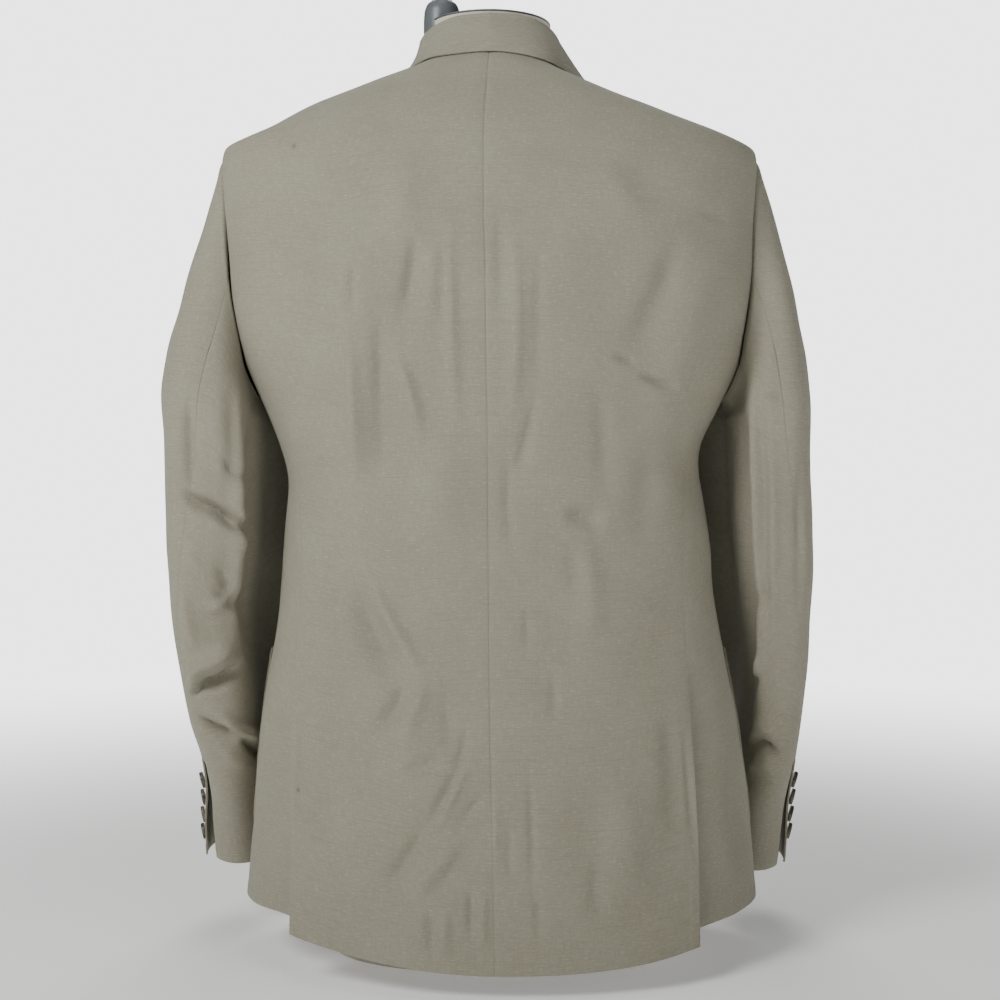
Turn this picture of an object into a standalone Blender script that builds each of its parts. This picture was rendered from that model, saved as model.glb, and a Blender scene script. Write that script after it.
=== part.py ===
"""A single-breasted sport coat on a limbless dress form, in metres, +Z up.

The wearer's front faces -Y and the wearer's left is +X. The origin is the centre of the form's flat base.
The coat hangs on one smooth torso surface: every panel is a stretch of it between two seams.
"""

from collections import namedtuple
from math import acos, asin, cos, degrees, pi, radians, sin, sqrt

import bmesh
import bpy
import numpy as np
from mathutils import Matrix, Vector

# Cloth and gaps
BODY_CLOTH = 0.0020
SLEEVE_CLOTH = 0.0016
TRIM_CLOTH = 0.0016
SEAM_GAP = 0.0003
LAYER_GAP = 0.0012

# Heights of the coat
HEM = 0.020
VENT_TOP = 0.215
SHOULDER = 0.700
NECK = 0.770
HEM_RISE = 0.031
HEM_CURVE = {+1: 1.8, -1: 2.8}
SIDE_HEM_STEP = 0.014
HEM_RISE_FADES_AT = 0.260
NECK_RISE = 0.007
NECK_RISE_STARTS_AT = 0.735
SHOULDER_EASE = 0.016

# Front closing
OVERLAP = 0.018
CUTAWAY_TOP = 0.110
CUTAWAY_REACH = 0.075
BREAK = 0.365
GORGE = 0.735
ROLL_AT_BREAK = 0.010
ROLL_AT_GORGE = 0.050
ROLL_AT_NECK = 0.064

# Side vents
VENT_UNDERLAP = 0.030
VENT_EASE = 0.025

# Armhole, an oval on the torso seen from the side
ARMHOLE_MID = 0.578
ARMHOLE_HALF = 0.122
ARMHOLE_Y = -0.002
ARMHOLE_BACK = 0.050
ARMHOLE_FRONT = 0.055
BACK_SEAM_MEETS_ARMHOLE = 0.495
FRONT_SEAM_MEETS_ARMHOLE = 0.475

# Sleeves
SLEEVE_TOP = 0.440
SLEEVE_SEAT_GAP = 0.0012
SLEEVE_HEAD_PUFF = {+1: 0.032, -1: 0.056}
FORE_SEAM = 225.0
CUFF_TILT = 0.30
CUFF_VENT_TOP = 0.155
CUFF_VENT_GAPE = 0.004

# Patch pockets
POCKET_TOP = 0.262
POCKET_BOTTOM = 0.068
POCKET_BACK = 92.0
POCKET_FRONT = 148.0
POCKET_CORNER = 0.030
POCKET_STAND_OFF = 0.0022
POCKET_ROWS = (0, 0.02, 0.06, 0.13, 0.3, 0.5, 0.7, 0.97, 1)
CORNER_SOFTNESS = 0.97

# Buttons
FRONT_BUTTON_RADIUS = 0.010
CUFF_BUTTON_RADIUS = 0.0075
BUTTON_THICK = 0.0032
FRONT_BUTTON_HEIGHTS = (0.350, 0.245)
CUFF_BUTTON_HEIGHTS = (0.138, 0.121, 0.104, 0.087)
CUFF_BUTTON_INSET = 15.0

# Dress form
FORM_RING = 32
NECK_CAP_THICK = 0.0016
POST_X = 0.042
POST_Y = 0.004

Level = namedtuple("Level", "height half_width back_depth front_depth squareness sway")
TORSO = (
    Level(0.020, 0.2290, 0.1500, 0.138, 2.05, -0.0115),
    Level(0.120, 0.2185, 0.1420, 0.138, 2.10, -0.0100),
    Level(0.200, 0.2085, 0.1320, 0.137, 2.15, -0.0085),
    Level(0.280, 0.1945, 0.1200, 0.136, 2.20, -0.0070),
    Level(0.340, 0.1870, 0.1130, 0.136, 2.25, -0.0060),
    Level(0.400, 0.1845, 0.1120, 0.139, 2.30, -0.0050),
    Level(0.456, 0.1970, 0.1170, 0.143, 2.35, -0.0040),
    Level(0.520, 0.2185, 0.1235, 0.145, 2.40, -0.0020),
    Level(0.580, 0.2310, 0.1265, 0.141, 2.40, -0.0010),
    Level(0.640, 0.2345, 0.1240, 0.129, 2.35, 0.0),
    Level(0.680, 0.2345, 0.1170, 0.114, 2.30, 0.0),
    Level(0.700, 0.2325, 0.1110, 0.104, 2.30, 0.0),
    Level(0.720, 0.1930, 0.1015, 0.090, 2.45, 0.0),
    Level(0.740, 0.1480, 0.0885, 0.074, 2.50, 0.0),
    Level(0.755, 0.1110, 0.0775, 0.062, 2.35, 0.0),
    Level(0.770, 0.0665, 0.0620, 0.048, 2.05, 0.0),
)

# How much lower each shoulder hangs than the torso's rings
Drop = namedtuple("Drop", "height left right")
SHOULDER_DROP = (
    Drop(0.660, 0.0, 0.0),
    Drop(0.700, 0.0040, 0.0050),
    Drop(0.715, 0.0070, 0.0080),
    Drop(0.735, 0.0065, 0.0120),
    Drop(0.750, 0.0050, 0.0145),
    Drop(0.760, 0.0030, 0.0120),
    Drop(0.770, 0.0, 0.0050),
)

# The largest folds: soft vertical troughs and ridges of the hanging cloth
Fold = namedtuple("Fold", "side angle height lean width half_length depth")
FOLDS = (
    Fold(+1, 33, 0.480, 20, 8, 0.110, -0.0035),
    Fold(+1, 24, 0.550, 30, 7, 0.090, 0.0025),
    Fold(-1, 42, 0.540, 90, 8, 0.080, 0.0035),
    Fold(-1, 34, 0.500, 60, 7, 0.060, -0.0025),
    Fold(+1, 17, 0.190, 75, 7, 0.110, 0.0035),
    Fold(+1, 26, 0.150, 75, 7, 0.100, -0.0030),
    Fold(-1, 11, 0.120, 0, 7, 0.110, 0.0025),
)

Seam = namedtuple("Seam", "height angle")
SideSeam = namedtuple("SideSeam", "height left right")
BACK_SIDE_SEAM = (
    SideSeam(0.020, 49.5, 44.5),
    SideSeam(0.120, 52.5, 46.5),
    SideSeam(0.215, 56.0, 49.0),
    SideSeam(0.340, 60.5, 56.0),
    SideSeam(0.420, 66.0, 63.0),
    SideSeam(0.460, 70.0, 69.0),
    SideSeam(0.495, 75.4, 75.4),
)
CentreSeam = namedtuple("CentreSeam", "height offset")
CENTRE_SEAM = (
    CentreSeam(0.020, 0.0065),
    CentreSeam(0.200, 0.0075),
    CentreSeam(0.400, 0.0060),
    CentreSeam(0.580, 0.0040),
    CentreSeam(0.680, 0.0045),
    CentreSeam(0.770, 0.0),
)
FRONT_SIDE_SEAM = (
    Seam(0.020, 105.0),
    Seam(0.280, 105.0),
    Seam(0.400, 102.0),
    Seam(0.475, 99.6),
)
HIND_SEAM = (
    Seam(0.070, 31.0),
    Seam(0.170, 32.0),
    Seam(0.250, 40.0),
    Seam(0.320, 52.0),
    Seam(0.390, 64.0),
    Seam(0.440, 78.0),
    Seam(0.600, 88.0),
)

# Sleeve sections; lean carries the front of a section in towards the body
SleeveRing = namedtuple("SleeveRing", "height outer width centre_y half_depth lean")
SLEEVES = {
    +1: (
        SleeveRing(0.072, 0.2620, 0.062, -0.098, 0.052, 0.012),
        SleeveRing(0.120, 0.2620, 0.062, -0.082, 0.056, 0.012),
        SleeveRing(0.160, 0.2650, 0.066, -0.067, 0.058, 0.018),
        SleeveRing(0.200, 0.2725, 0.071, -0.052, 0.060, 0.030),
        SleeveRing(0.280, 0.2800, 0.077, -0.028, 0.064, 0.038),
        SleeveRing(0.360, 0.2830, 0.083, -0.010, 0.068, 0.038),
        SleeveRing(0.440, 0.2840, 0.087, -0.004, 0.072, 0.022),
    ),
    -1: (
        SleeveRing(0.067, 0.2740, 0.062, -0.102, 0.052, 0.000),
        SleeveRing(0.120, 0.2775, 0.061, -0.084, 0.055, 0.002),
        SleeveRing(0.160, 0.2820, 0.062, -0.069, 0.058, 0.010),
        SleeveRing(0.200, 0.2860, 0.064, -0.054, 0.060, 0.022),
        SleeveRing(0.280, 0.2895, 0.067, -0.028, 0.064, 0.038),
        SleeveRing(0.360, 0.2875, 0.071, -0.010, 0.068, 0.038),
        SleeveRing(0.440, 0.2840, 0.077, -0.004, 0.072, 0.022),
    ),
}

# Lapel, drawn on the front: the roll line is straight, and the outer edge bows
LapelRow = namedtuple("LapelRow", "along edge_x edge_height")
LAPEL = (
    LapelRow(0.00, 0.016, 0.366),
    LapelRow(0.15, 0.040, 0.410),
    LapelRow(0.35, 0.073, 0.480),
    LapelRow(0.55, 0.099, 0.550),
    LapelRow(0.75, 0.117, 0.618),
    LapelRow(0.90, 0.127, 0.665),
    LapelRow(1.00, 0.130, 0.684),
)

# Collar from the centre back to its front end: the fold line, the fall's edge on the coat and the neck seam
CollarRow = namedtuple("CollarRow", "fold_x fold_y fold_z edge_x edge_z seam_x seam_y seam_z")
COLLAR = (
    CollarRow(0.000, 0.0535, 0.8034, 0.000, 0.7690, 0.0000, 0.0610, 0.7785),
    CollarRow(0.027, 0.0475, 0.8027, 0.036, 0.7680, 0.0278, 0.0553, 0.7772),
    CollarRow(0.047, 0.0310, 0.7995, 0.062, 0.7665, 0.0502, 0.0393, 0.7742),
    CollarRow(0.059, 0.0080, 0.7930, 0.078, 0.7655, 0.0650, 0.0085, 0.7715),
    CollarRow(0.064, -0.0180, 0.7810, 0.096, 0.7530, 0.0622, -0.0150, 0.7715),
    CollarRow(0.059, -0.0490, 0.7630, 0.111, 0.7420, 0.0535, -0.0440, 0.7570),
    CollarRow(0.052, -0.0785, 0.7375, 0.119, 0.7290, 0.0470, -0.0700, 0.7365),
)
COLLAR_NOTCH = (0.098, 0.7054)
SEAM_REACH = 0.065
FOLD_RADIUS = 0.0035
FALL_LIFT = 0.0034
FALL_BOW = 0.003

FormRing = namedtuple("FormRing", "height half_width back_depth front_depth")
FORM = (
    FormRing(0.000, 0.135, 0.078, 0.086),
    FormRing(0.040, 0.145, 0.084, 0.092),
    FormRing(0.120, 0.160, 0.098, 0.106),
    FormRing(0.200, 0.165, 0.102, 0.112),
    FormRing(0.280, 0.161, 0.097, 0.112),
    FormRing(0.340, 0.157, 0.093, 0.112),
    FormRing(0.400, 0.158, 0.094, 0.116),
    FormRing(0.460, 0.167, 0.100, 0.121),
    FormRing(0.530, 0.182, 0.107, 0.122),
    FormRing(0.600, 0.196, 0.108, 0.113),
    FormRing(0.650, 0.200, 0.101, 0.098),
    FormRing(0.684, 0.189, 0.089, 0.081),
    FormRing(0.702, 0.171, 0.081, 0.071),
    FormRing(0.715, 0.148, 0.073, 0.063),
    FormRing(0.729, 0.112, 0.063, 0.053),
    FormRing(0.742, 0.080, 0.054, 0.046),
    FormRing(0.756, 0.057, 0.047, 0.042),
    FormRing(0.780, 0.051, 0.0445, 0.042),
    FormRing(0.799, 0.051, 0.0445, 0.042),
    FormRing(0.8110, 0.0525, 0.045, 0.043),
)
NECK_CAP = FormRing(0.8113, 0.057, 0.0465, 0.045)

PostRing = namedtuple("PostRing", "height radius")
POST = (
    PostRing(0.8132, 0.0142),
    PostRing(0.8220, 0.0152),
    PostRing(0.8285, 0.0135),
    PostRing(0.8335, 0.0088),
    PostRing(0.8420, 0.0080),
    PostRing(0.8500, 0.0095),
    PostRing(0.8560, 0.0085),
    PostRing(0.8590, 0.0045),
)


def between(value, low, high):
    """0 at low, 1 at high and smooth in between."""
    t = min(1.0, max(0.0, (value - low) / (high - low)))
    return t * t * (3 - 2 * t)


def reading(table, x, column, key=0):
    """One column of a table, read at x on a smooth curve that never overshoots its rows."""
    xs = [row[key] for row in table]
    ys = [getattr(row, column) for row in table]
    steps = [(ys[i + 1] - ys[i]) / (xs[i + 1] - xs[i]) for i in range(len(xs) - 1)]
    slopes = [steps[0]]
    for a, b in zip(steps, steps[1:]):
        slopes.append(2 * a * b / (a + b) if a * b > 0 else 0.0)
    slopes.append(steps[-1])
    if x <= xs[0]:
        return ys[0]
    if x >= xs[-1]:
        return ys[-1]
    i = next(k for k in range(len(xs) - 1) if x <= xs[k + 1])
    width = xs[i + 1] - xs[i]
    t = (x - xs[i]) / width
    rise = ys[i + 1] - ys[i]
    start, end = slopes[i] * width, slopes[i + 1] * width
    return ys[i] + t * (start + t * (3 * rise - 2 * start - end + t * (start + end - 2 * rise)))


def folded(level, degrees_round, side):
    """How far the largest folds push the cloth out at this place."""
    push = 0.0
    for fold in FOLDS:
        if fold.side != side:
            continue
        off = (level - fold.height) / fold.half_length
        if abs(off) < 1:
            centre = fold.angle + fold.lean * (level - fold.height)
            across = (degrees_round - centre) / fold.width
            push += fold.depth * (1 - off * off) ** 2 * np.exp(-across * across)
    return push


def torso(level, degrees_round, side, lift=0.0):
    """A point of the coat's outer surface. The angle runs from the centre back, 0, to the centre front, 180."""
    level_of = {name: reading(TORSO, level, name) for name in Level._fields[1:]}
    power = 2 / level_of["squareness"]
    s, c = sin(radians(degrees_round)), cos(radians(degrees_round))
    depth = level_of["back_depth"] if c >= 0 else level_of["front_depth"]
    across = np.sign(s) * abs(s) ** power
    along = np.sign(c) * abs(c) ** power
    out = lift + folded(level, degrees_round, side)
    near = [reading(TORSO, level + step, "half_width") for step in (-SHOULDER_EASE, SHOULDER_EASE)]
    wide = level_of["half_width"]
    ease = (sum(near) - 2 * wide) / 3 * c * c * (1 - between(level, 0.730, 0.755))
    x = (wide + ease + out) * across
    y = (depth + out) * along
    rise = HEM_RISE * abs(s) ** HEM_CURVE[side] * (1 - between(level, HEM, HEM_RISE_FADES_AT))
    rise += NECK_RISE * c * c * between(level, NECK_RISE_STARTS_AT, NECK)
    rise -= reading(SHOULDER_DROP, level, "left" if side > 0 else "right") * s * s
    return Vector((side * x + level_of["sway"], y, level + rise))


def torso_normal(level, degrees_round, side):
    """The way out of the coat at a point of its surface."""
    turn = torso(level, degrees_round + 0.5, side) - torso(level, degrees_round - 0.5, side)
    low, high = max(level - 0.002, HEM), min(level + 0.002, NECK)
    climb = torso(high, degrees_round, side) - torso(low, degrees_round, side)
    return turn.cross(climb).normalized() * -side


def on_torso(level, degrees_round, side, lift):
    """A point that lies on the coat, moved out along the surface's normal."""
    return torso(level, degrees_round, side) + torso_normal(level, degrees_round, side) * lift


def angle_at_x(level, x, front):
    """The angle where the section at this level is x away from the middle."""
    share = min(1.0, abs(x) / reading(TORSO, level, "half_width"))
    angle = degrees(asin(share ** (reading(TORSO, level, "squareness") / 2)))
    if not front:
        return angle
    return 180 - angle if x >= 0 else 180 + angle


def angle_at_y(level, y):
    """The angle where the section at this level has this depth."""
    depth = reading(TORSO, level, "back_depth" if y >= 0 else "front_depth")
    angle = degrees(acos((abs(y) / depth) ** (reading(TORSO, level, "squareness") / 2)))
    return angle if y >= 0 else 180 - angle


def armhole(degrees_of_sleeve):
    """Level and angle of the armhole: 0 at the shoulder tip, 90 at the back, 180 underarm, 270 in front."""
    c, s = cos(radians(degrees_of_sleeve)), sin(radians(degrees_of_sleeve))
    level = ARMHOLE_MID + ARMHOLE_HALF * c
    return level, angle_at_y(level, ARMHOLE_Y + (ARMHOLE_BACK if s >= 0 else ARMHOLE_FRONT) * s)


def armhole_edge(level, front):
    """The armhole's angle on the torso at a level, on its back or front edge."""
    off = min(1.0, abs(level - ARMHOLE_MID) / ARMHOLE_HALF)
    reach = sqrt(1 - off * off)
    return angle_at_y(level, ARMHOLE_Y - ARMHOLE_FRONT * reach if front else ARMHOLE_Y + ARMHOLE_BACK * reach)


def new_object(name, bm, material):
    """A named object from a bmesh, in the coat's collection."""
    mesh = bpy.data.meshes.new(name)
    bm.to_mesh(mesh)
    bm.free()
    mesh.shade_smooth()
    made = bpy.data.objects.new(name, mesh)
    made.data.materials.append(material)
    PARTS.objects.link(made)
    return made


def sheet(points, outwards):
    """An open grid of faces through rows of points, facing the way the given vectors do."""
    rows, columns = len(points) - 1, len(points[0]) - 1
    bm = bmesh.new()
    bmesh.ops.create_grid(bm, x_segments=columns, y_segments=rows, size=1)
    for vert in bm.verts:
        column = round((vert.co.x + 1) / 2 * columns)
        row = round((vert.co.y + 1) / 2 * rows)
        vert.co = points[row][column]
    bm.normal_update()
    middle = bm.faces[:][len(bm.faces) // 2]
    if middle.normal.dot(outwards) < 0:
        bmesh.ops.reverse_faces(bm, faces=bm.faces)
    return bm


def wall(name, points, outwards, thick, material):
    """A cloth wall: the grid is its outer face and Solidify adds the thickness inwards."""
    made = new_object(name, sheet(points, outwards), material)
    solidify = made.modifiers.new("thickness", "SOLIDIFY")
    solidify.thickness = thick
    solidify.offset = -1
    return made


def spread(start, end, count):
    """Evenly spread values, with a narrow first and last step that keeps seam edges square."""
    edge = 0.18 / count
    inner = [edge + (1 - 2 * edge) * i / (count - 2) for i in range(count - 1)]
    return [start + (end - start) * t for t in (0.0, *inner, 1.0)]


def trimmed(level, degrees_round, side, gap):
    """An angle moved along the surface by a distance."""
    step = (torso(level, degrees_round + 0.5, side) - torso(level, degrees_round - 0.5, side)).length
    return degrees_round + gap / step


def panel(name, side, levels, start, end, columns, material, lift=None):
    """A torso panel with a row of points at each level, from a start angle to an end angle."""
    points = []
    for level in levels:
        first = trimmed(level, start(level), side, SEAM_GAP / 2)
        last = trimmed(level, end(level), side, -SEAM_GAP / 2)
        if end(level) < start(level):
            first = trimmed(level, start(level), side, -SEAM_GAP / 2)
            last = trimmed(level, end(level), side, SEAM_GAP / 2)
        row = []
        for angle in spread(first, last, columns):
            row.append(on_torso(level, angle, side, lift(level, angle) if lift else 0.0))
        points.append(row)
    middle = len(levels) // 2
    facing = torso_normal(levels[middle], (start(levels[middle]) + end(levels[middle])) / 2, side)
    return wall(name, points, facing, BODY_CLOTH, material)


BACK_LEVELS = (
    0.020, 0.024, 0.060, 0.100, 0.140, 0.180, 0.215, 0.250, 0.290, 0.330, 0.370, 0.405, 0.435, 0.465, 0.495,
    0.530, 0.565, 0.600, 0.635, 0.660, 0.679, 0.690, 0.696, 0.699, 0.700, 0.706, 0.714, 0.723, 0.735, 0.747,
    0.759, 0.768, 0.770,
)
FRONT_LEVELS = (
    0.020, 0.024, 0.032, 0.045, 0.062, 0.085, 0.110, 0.150, 0.190, 0.230, 0.270, 0.310, 0.340, 0.352, 0.365,
    0.380, 0.410, 0.445, 0.475, 0.510, 0.545, 0.580, 0.615, 0.640, 0.660, 0.679, 0.690, 0.696, 0.699, 0.700,
    0.706, 0.714, 0.723, 0.735, 0.747, 0.759, 0.768, 0.770,
)


def back_side_seam(level, side):
    return reading(BACK_SIDE_SEAM, level, "left" if side > 0 else "right")


def centre_seam(level, side):
    """The centre back seam, which wanders a little to the wearer's left."""
    return side * angle_at_x(level, reading(CENTRE_SEAM, level, "offset"), front=False)


def back_edge(level, side):
    """Where a back half ends: side seam, then armhole, then shoulder seam."""
    if level < BACK_SEAM_MEETS_ARMHOLE:
        return back_side_seam(level, side)
    return armhole_edge(level, front=False) if level < SHOULDER else 90.0


def front_side_edge(level):
    """Where a front ends at the side: side seam, then armhole, then shoulder seam."""
    if level < FRONT_SEAM_MEETS_ARMHOLE:
        return reading(FRONT_SIDE_SEAM, level, "angle")
    return armhole_edge(level, front=True) if level < SHOULDER else 90.0


def roll_x(level):
    """The roll line, straight from the break to the gorge and then up beside the neck."""
    if level > GORGE:
        return ROLL_AT_GORGE + (ROLL_AT_NECK - ROLL_AT_GORGE) * (level - GORGE) / (NECK - GORGE)
    return ROLL_AT_BREAK + (ROLL_AT_GORGE - ROLL_AT_BREAK) * (level - BREAK) / (GORGE - BREAK)


def front_edge_x(level):
    """The front's free edge: a curved corner at the hem, straight at the buttons, then the roll line."""
    if level < CUTAWAY_TOP:
        drop = (CUTAWAY_TOP - level) / (CUTAWAY_TOP - HEM)
        return -OVERLAP + CUTAWAY_REACH * (1 - sqrt(max(0.0, 1 - drop * drop * CORNER_SOFTNESS)))
    return -OVERLAP + (roll_x(level) + OVERLAP) * between(level, BREAK - 0.020, BREAK + 0.015)


def front_edge(level):
    return angle_at_x(level, front_edge_x(level), front=True)


def left_over_right(level, angle):
    """The left front stands clear of the right one where they lap."""
    return (BODY_CLOTH + LAYER_GAP) * between(angle, 130, 160)


def under_lift(level, angle, side):
    """How far the front under a trim piece is already lifted."""
    return left_over_right(level, angle) if side > 0 else 0.0


def vent_flare(level, angle):
    """The back's vent edge stands a little off the side body."""
    return 0.0015 * (1 - between(level, HEM, VENT_TOP)) * between(angle, 35, 49)


def make_backs(cloth):
    for name, side in (("back_left", +1), ("back_right", -1)):
        def middle(level, side=side):
            return centre_seam(level, side)

        def edge(level, side=side):
            return back_edge(level, side)

        panel(name, side, BACK_LEVELS, middle, edge, 9, cloth, vent_flare)


def make_fronts(cloth):
    panel("front_left", +1, FRONT_LEVELS, front_edge, front_side_edge, 11, cloth, left_over_right)
    panel("front_right", -1, FRONT_LEVELS, front_edge, front_side_edge, 11, cloth)


def make_sides(cloth):
    """Side bodies: their top follows the armhole, and below the vent they run on under the back."""
    rows, columns = 16, 6
    first = degrees(acos((BACK_SEAM_MEETS_ARMHOLE - ARMHOLE_MID) / ARMHOLE_HALF))
    last = 360 - degrees(acos((FRONT_SEAM_MEETS_ARMHOLE - ARMHOLE_MID) / ARMHOLE_HALF))
    for name, side in (("side_left", +1), ("side_right", -1)):
        grid = [[None] * (columns + 1) for _ in range(rows + 1)]
        for column, share in enumerate(spread(0.0, 1.0, columns)):
            top_level, top_angle = armhole(first + (last - first) * share)
            seam_top = back_side_seam(top_level, side)
            pull = top_angle - seam_top - (reading(FRONT_SIDE_SEAM, top_level, "angle") - seam_top) * share
            for row, climb in enumerate(spread(0.0, 1.0, rows)):
                hem = HEM + SIDE_HEM_STEP * (1 - between(share, 0.0, 0.8))
                level = hem + (top_level - hem) * climb
                seam = back_side_seam(level, side)
                front = reading(FRONT_SIDE_SEAM, level, "angle")
                under = 1 - between(level, VENT_TOP - VENT_EASE, VENT_TOP)
                back = trimmed(level, seam, side, SEAM_GAP / 2 - VENT_UNDERLAP * under)
                front = trimmed(level, front, side, -SEAM_GAP / 2)
                angle = back + (front - back) * share
                angle += pull * between(climb, 0.7, 1.0)
                sink = 1 - between(level, VENT_TOP, VENT_TOP + 2 * VENT_EASE)
                sink *= 1 - between(angle, seam + 3, seam + 16)
                grid[row][column] = on_torso(level, angle, side, -(BODY_CLOTH + LAYER_GAP) * sink)
        wall(name, grid, torso_normal(0.25, 78, side), BODY_CLOTH, cloth)


def sleeve_ring(side, height, degrees_of_sleeve):
    """A point of the sleeve below the armhole."""
    table = SLEEVES[side]
    half = reading(table, height, "width") / 2
    c, s = cos(radians(degrees_of_sleeve)), sin(radians(degrees_of_sleeve))
    x = reading(table, height, "outer") - half + half * c - reading(table, height, "lean") * between(-s, 0, 1)
    deep = reading(table, height, "half_depth") * s
    tilt = CUFF_TILT * (1 - between(height, table[0].height, SLEEVE_TOP))
    return Vector((side * x, reading(table, height, "centre_y") + deep, height - tilt * deep))


def sleeve_seat(side, degrees_of_sleeve):
    """Where the sleeve's top edge sits in the armhole, just off the panels."""
    level, angle = armhole(degrees_of_sleeve)
    out = Vector((side, 0, 0))
    return torso(level, angle, side) + out * SLEEVE_SEAT_GAP


def sleeve(side, along, degrees_of_sleeve):
    """A point of the sleeve: along runs from -1 at the armhole over 0 at the underarm to 1 at the cuff."""
    cuff = SLEEVES[side][0].height
    if along >= 0:
        return sleeve_ring(side, SLEEVE_TOP + (cuff - SLEEVE_TOP) * along, degrees_of_sleeve)
    seat = sleeve_seat(side, degrees_of_sleeve)
    end = sleeve_ring(side, SLEEVE_TOP, degrees_of_sleeve)
    below = sleeve_ring(side, SLEEVE_TOP - 0.01, degrees_of_sleeve)
    run = (end - seat).length
    start_pull = (end - seat) + Vector((side * SLEEVE_HEAD_PUFF[side], 0, 0))
    end_pull = (below - end).normalized() * run
    t = along + 1
    return (
        seat * (1 + t * t * (2 * t - 3))
        + end * (t * t * (3 - 2 * t))
        + start_pull * (t * (1 - t) ** 2)
        + end_pull * (t * t * (t - 1))
    )


def sleeve_normal(side, along, degrees_of_sleeve):
    turn = sleeve(side, along, degrees_of_sleeve + 1) - sleeve(side, along, degrees_of_sleeve - 1)
    drop = sleeve(side, min(1, along + 0.02), degrees_of_sleeve) - sleeve(side, along - 0.02, degrees_of_sleeve)
    return turn.cross(drop).normalized() * -side


SLEEVE_ALONG = (
    -1.0, -0.985, -0.86, -0.72, -0.58, -0.44, -0.30, -0.15, 0.0, 0.09, 0.18, 0.27, 0.36, 0.45, 0.54, 0.63,
    0.72, 0.80, 0.87, 0.94, 0.99, 1.0,
)


def hind_seam(side, along):
    """The angle of the seam behind the arm, which turns outwards on its way to the cuff."""
    cuff = SLEEVES[side][0].height
    height = SLEEVE_TOP + (cuff - SLEEVE_TOP) * along if along >= 0 else SLEEVE_TOP - 0.16 * along
    return reading(HIND_SEAM, height, "angle")


def cuff_gape(side, along):
    """The top sleeve's vent edge stands off the under sleeve near the cuff."""
    height = sleeve_ring(side, SLEEVE_TOP + (SLEEVES[side][0].height - SLEEVE_TOP) * max(0, along), 0).z
    return CUFF_VENT_GAPE * (1 - between(height, SLEEVES[side][0].height, CUFF_VENT_TOP))


def make_sleeves(cloth):
    columns = {"top": 12, "under": 8}
    for hand, side in (("left", +1), ("right", -1)):
        for cut in ("top", "under"):
            points = []
            for along in SLEEVE_ALONG:
                hind = hind_seam(side, along)
                start, end = (hind, FORE_SEAM) if cut == "under" else (hind, FORE_SEAM - 360)
                sign = 1 if cut == "under" else -1
                row = []
                for place, angle in enumerate(spread(start, end, columns[cut])):
                    step = (sleeve(side, along, angle + 1) - sleeve(side, along, angle - 1)).length / 2
                    if place in (0, columns[cut]):
                        inwards = sign if place == 0 else -sign
                        angle += inwards * 1.4 * SEAM_GAP / step
                    gape = 0.0
                    if cut == "top":
                        gape = cuff_gape(side, along) * (1 - between(abs(angle - hind), 0, 45))
                    row.append(sleeve(side, along, angle) + sleeve_normal(side, along, angle) * gape)
                points.append(row)
            facing = sleeve_normal(side, SLEEVE_ALONG[11], (hind_seam(side, SLEEVE_ALONG[11]) + FORE_SEAM) / 2)
            if cut == "top":
                facing = -facing
            wall(f"{cut}_sleeve_{hand}", points, facing, SLEEVE_CLOTH, cloth)


def pocket_inset(level):
    """How far the rounded lower corners come in from the pocket's sides."""
    drop = min(1.0, max(0.0, (POCKET_BOTTOM + POCKET_CORNER - level) / POCKET_CORNER))
    return POCKET_CORNER * (1 - sqrt(max(0.0, 1 - drop * drop * CORNER_SOFTNESS)))


def pocket_lift(level, angle, side):
    """Pockets lie on the fronts and stand off a little at their upper back corner."""
    base = TRIM_CLOTH + LAYER_GAP + under_lift(level, angle, side)
    edge = (1 - between(angle, POCKET_BACK, POCKET_BACK + 14)) * between(level, POCKET_BOTTOM, POCKET_TOP)
    return base + POCKET_STAND_OFF * edge


def make_pockets(cloth):
    for name, side in (("pocket_left", +1), ("pocket_right", -1)):
        points = []
        for share in POCKET_ROWS:
            level = POCKET_BOTTOM + share * (POCKET_TOP - POCKET_BOTTOM)
            first = trimmed(level, POCKET_BACK, side, pocket_inset(level))
            last = trimmed(level, POCKET_FRONT, side, -pocket_inset(level))
            angles = spread(first, last, 7)
            points.append([on_torso(level, angle, side, pocket_lift(level, angle, side)) for angle in angles])
        wall(name, points, torso_normal(POCKET_TOP, (POCKET_BACK + POCKET_FRONT) / 2, side), TRIM_CLOTH, cloth)


def on_front(x, level, side, lift):
    return on_torso(level, angle_at_x(level, x, front=True), side, lift)


def make_lapels(cloth):
    base = TRIM_CLOTH + LAYER_GAP
    for name, side in (("lapel_left", +1), ("lapel_right", -1)):
        points = []
        for along in spread(0.0, 1.0, 12):
            level = BREAK + 0.004 + (GORGE - BREAK - 0.0045) * along
            edge_x = reading(LAPEL, along, "edge_x")
            edge_level = reading(LAPEL, along, "edge_height")
            row = []
            for share in spread(0.0, 1.0, 5):
                x = roll_x(level) + (edge_x - roll_x(level)) * share
                height = level + (edge_level - level) * share
                angle = angle_at_x(height, x, front=True)
                belly = 0.004 * sin(pi * share) * between(along, 0, 0.4) + 0.002 * (1 - share)
                row.append(on_front(x, height, side, base + under_lift(height, angle, side) + belly))
            points.append(row)
        wall(name, points, torso_normal(0.55, 155, side), TRIM_CLOTH, cloth)


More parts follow.
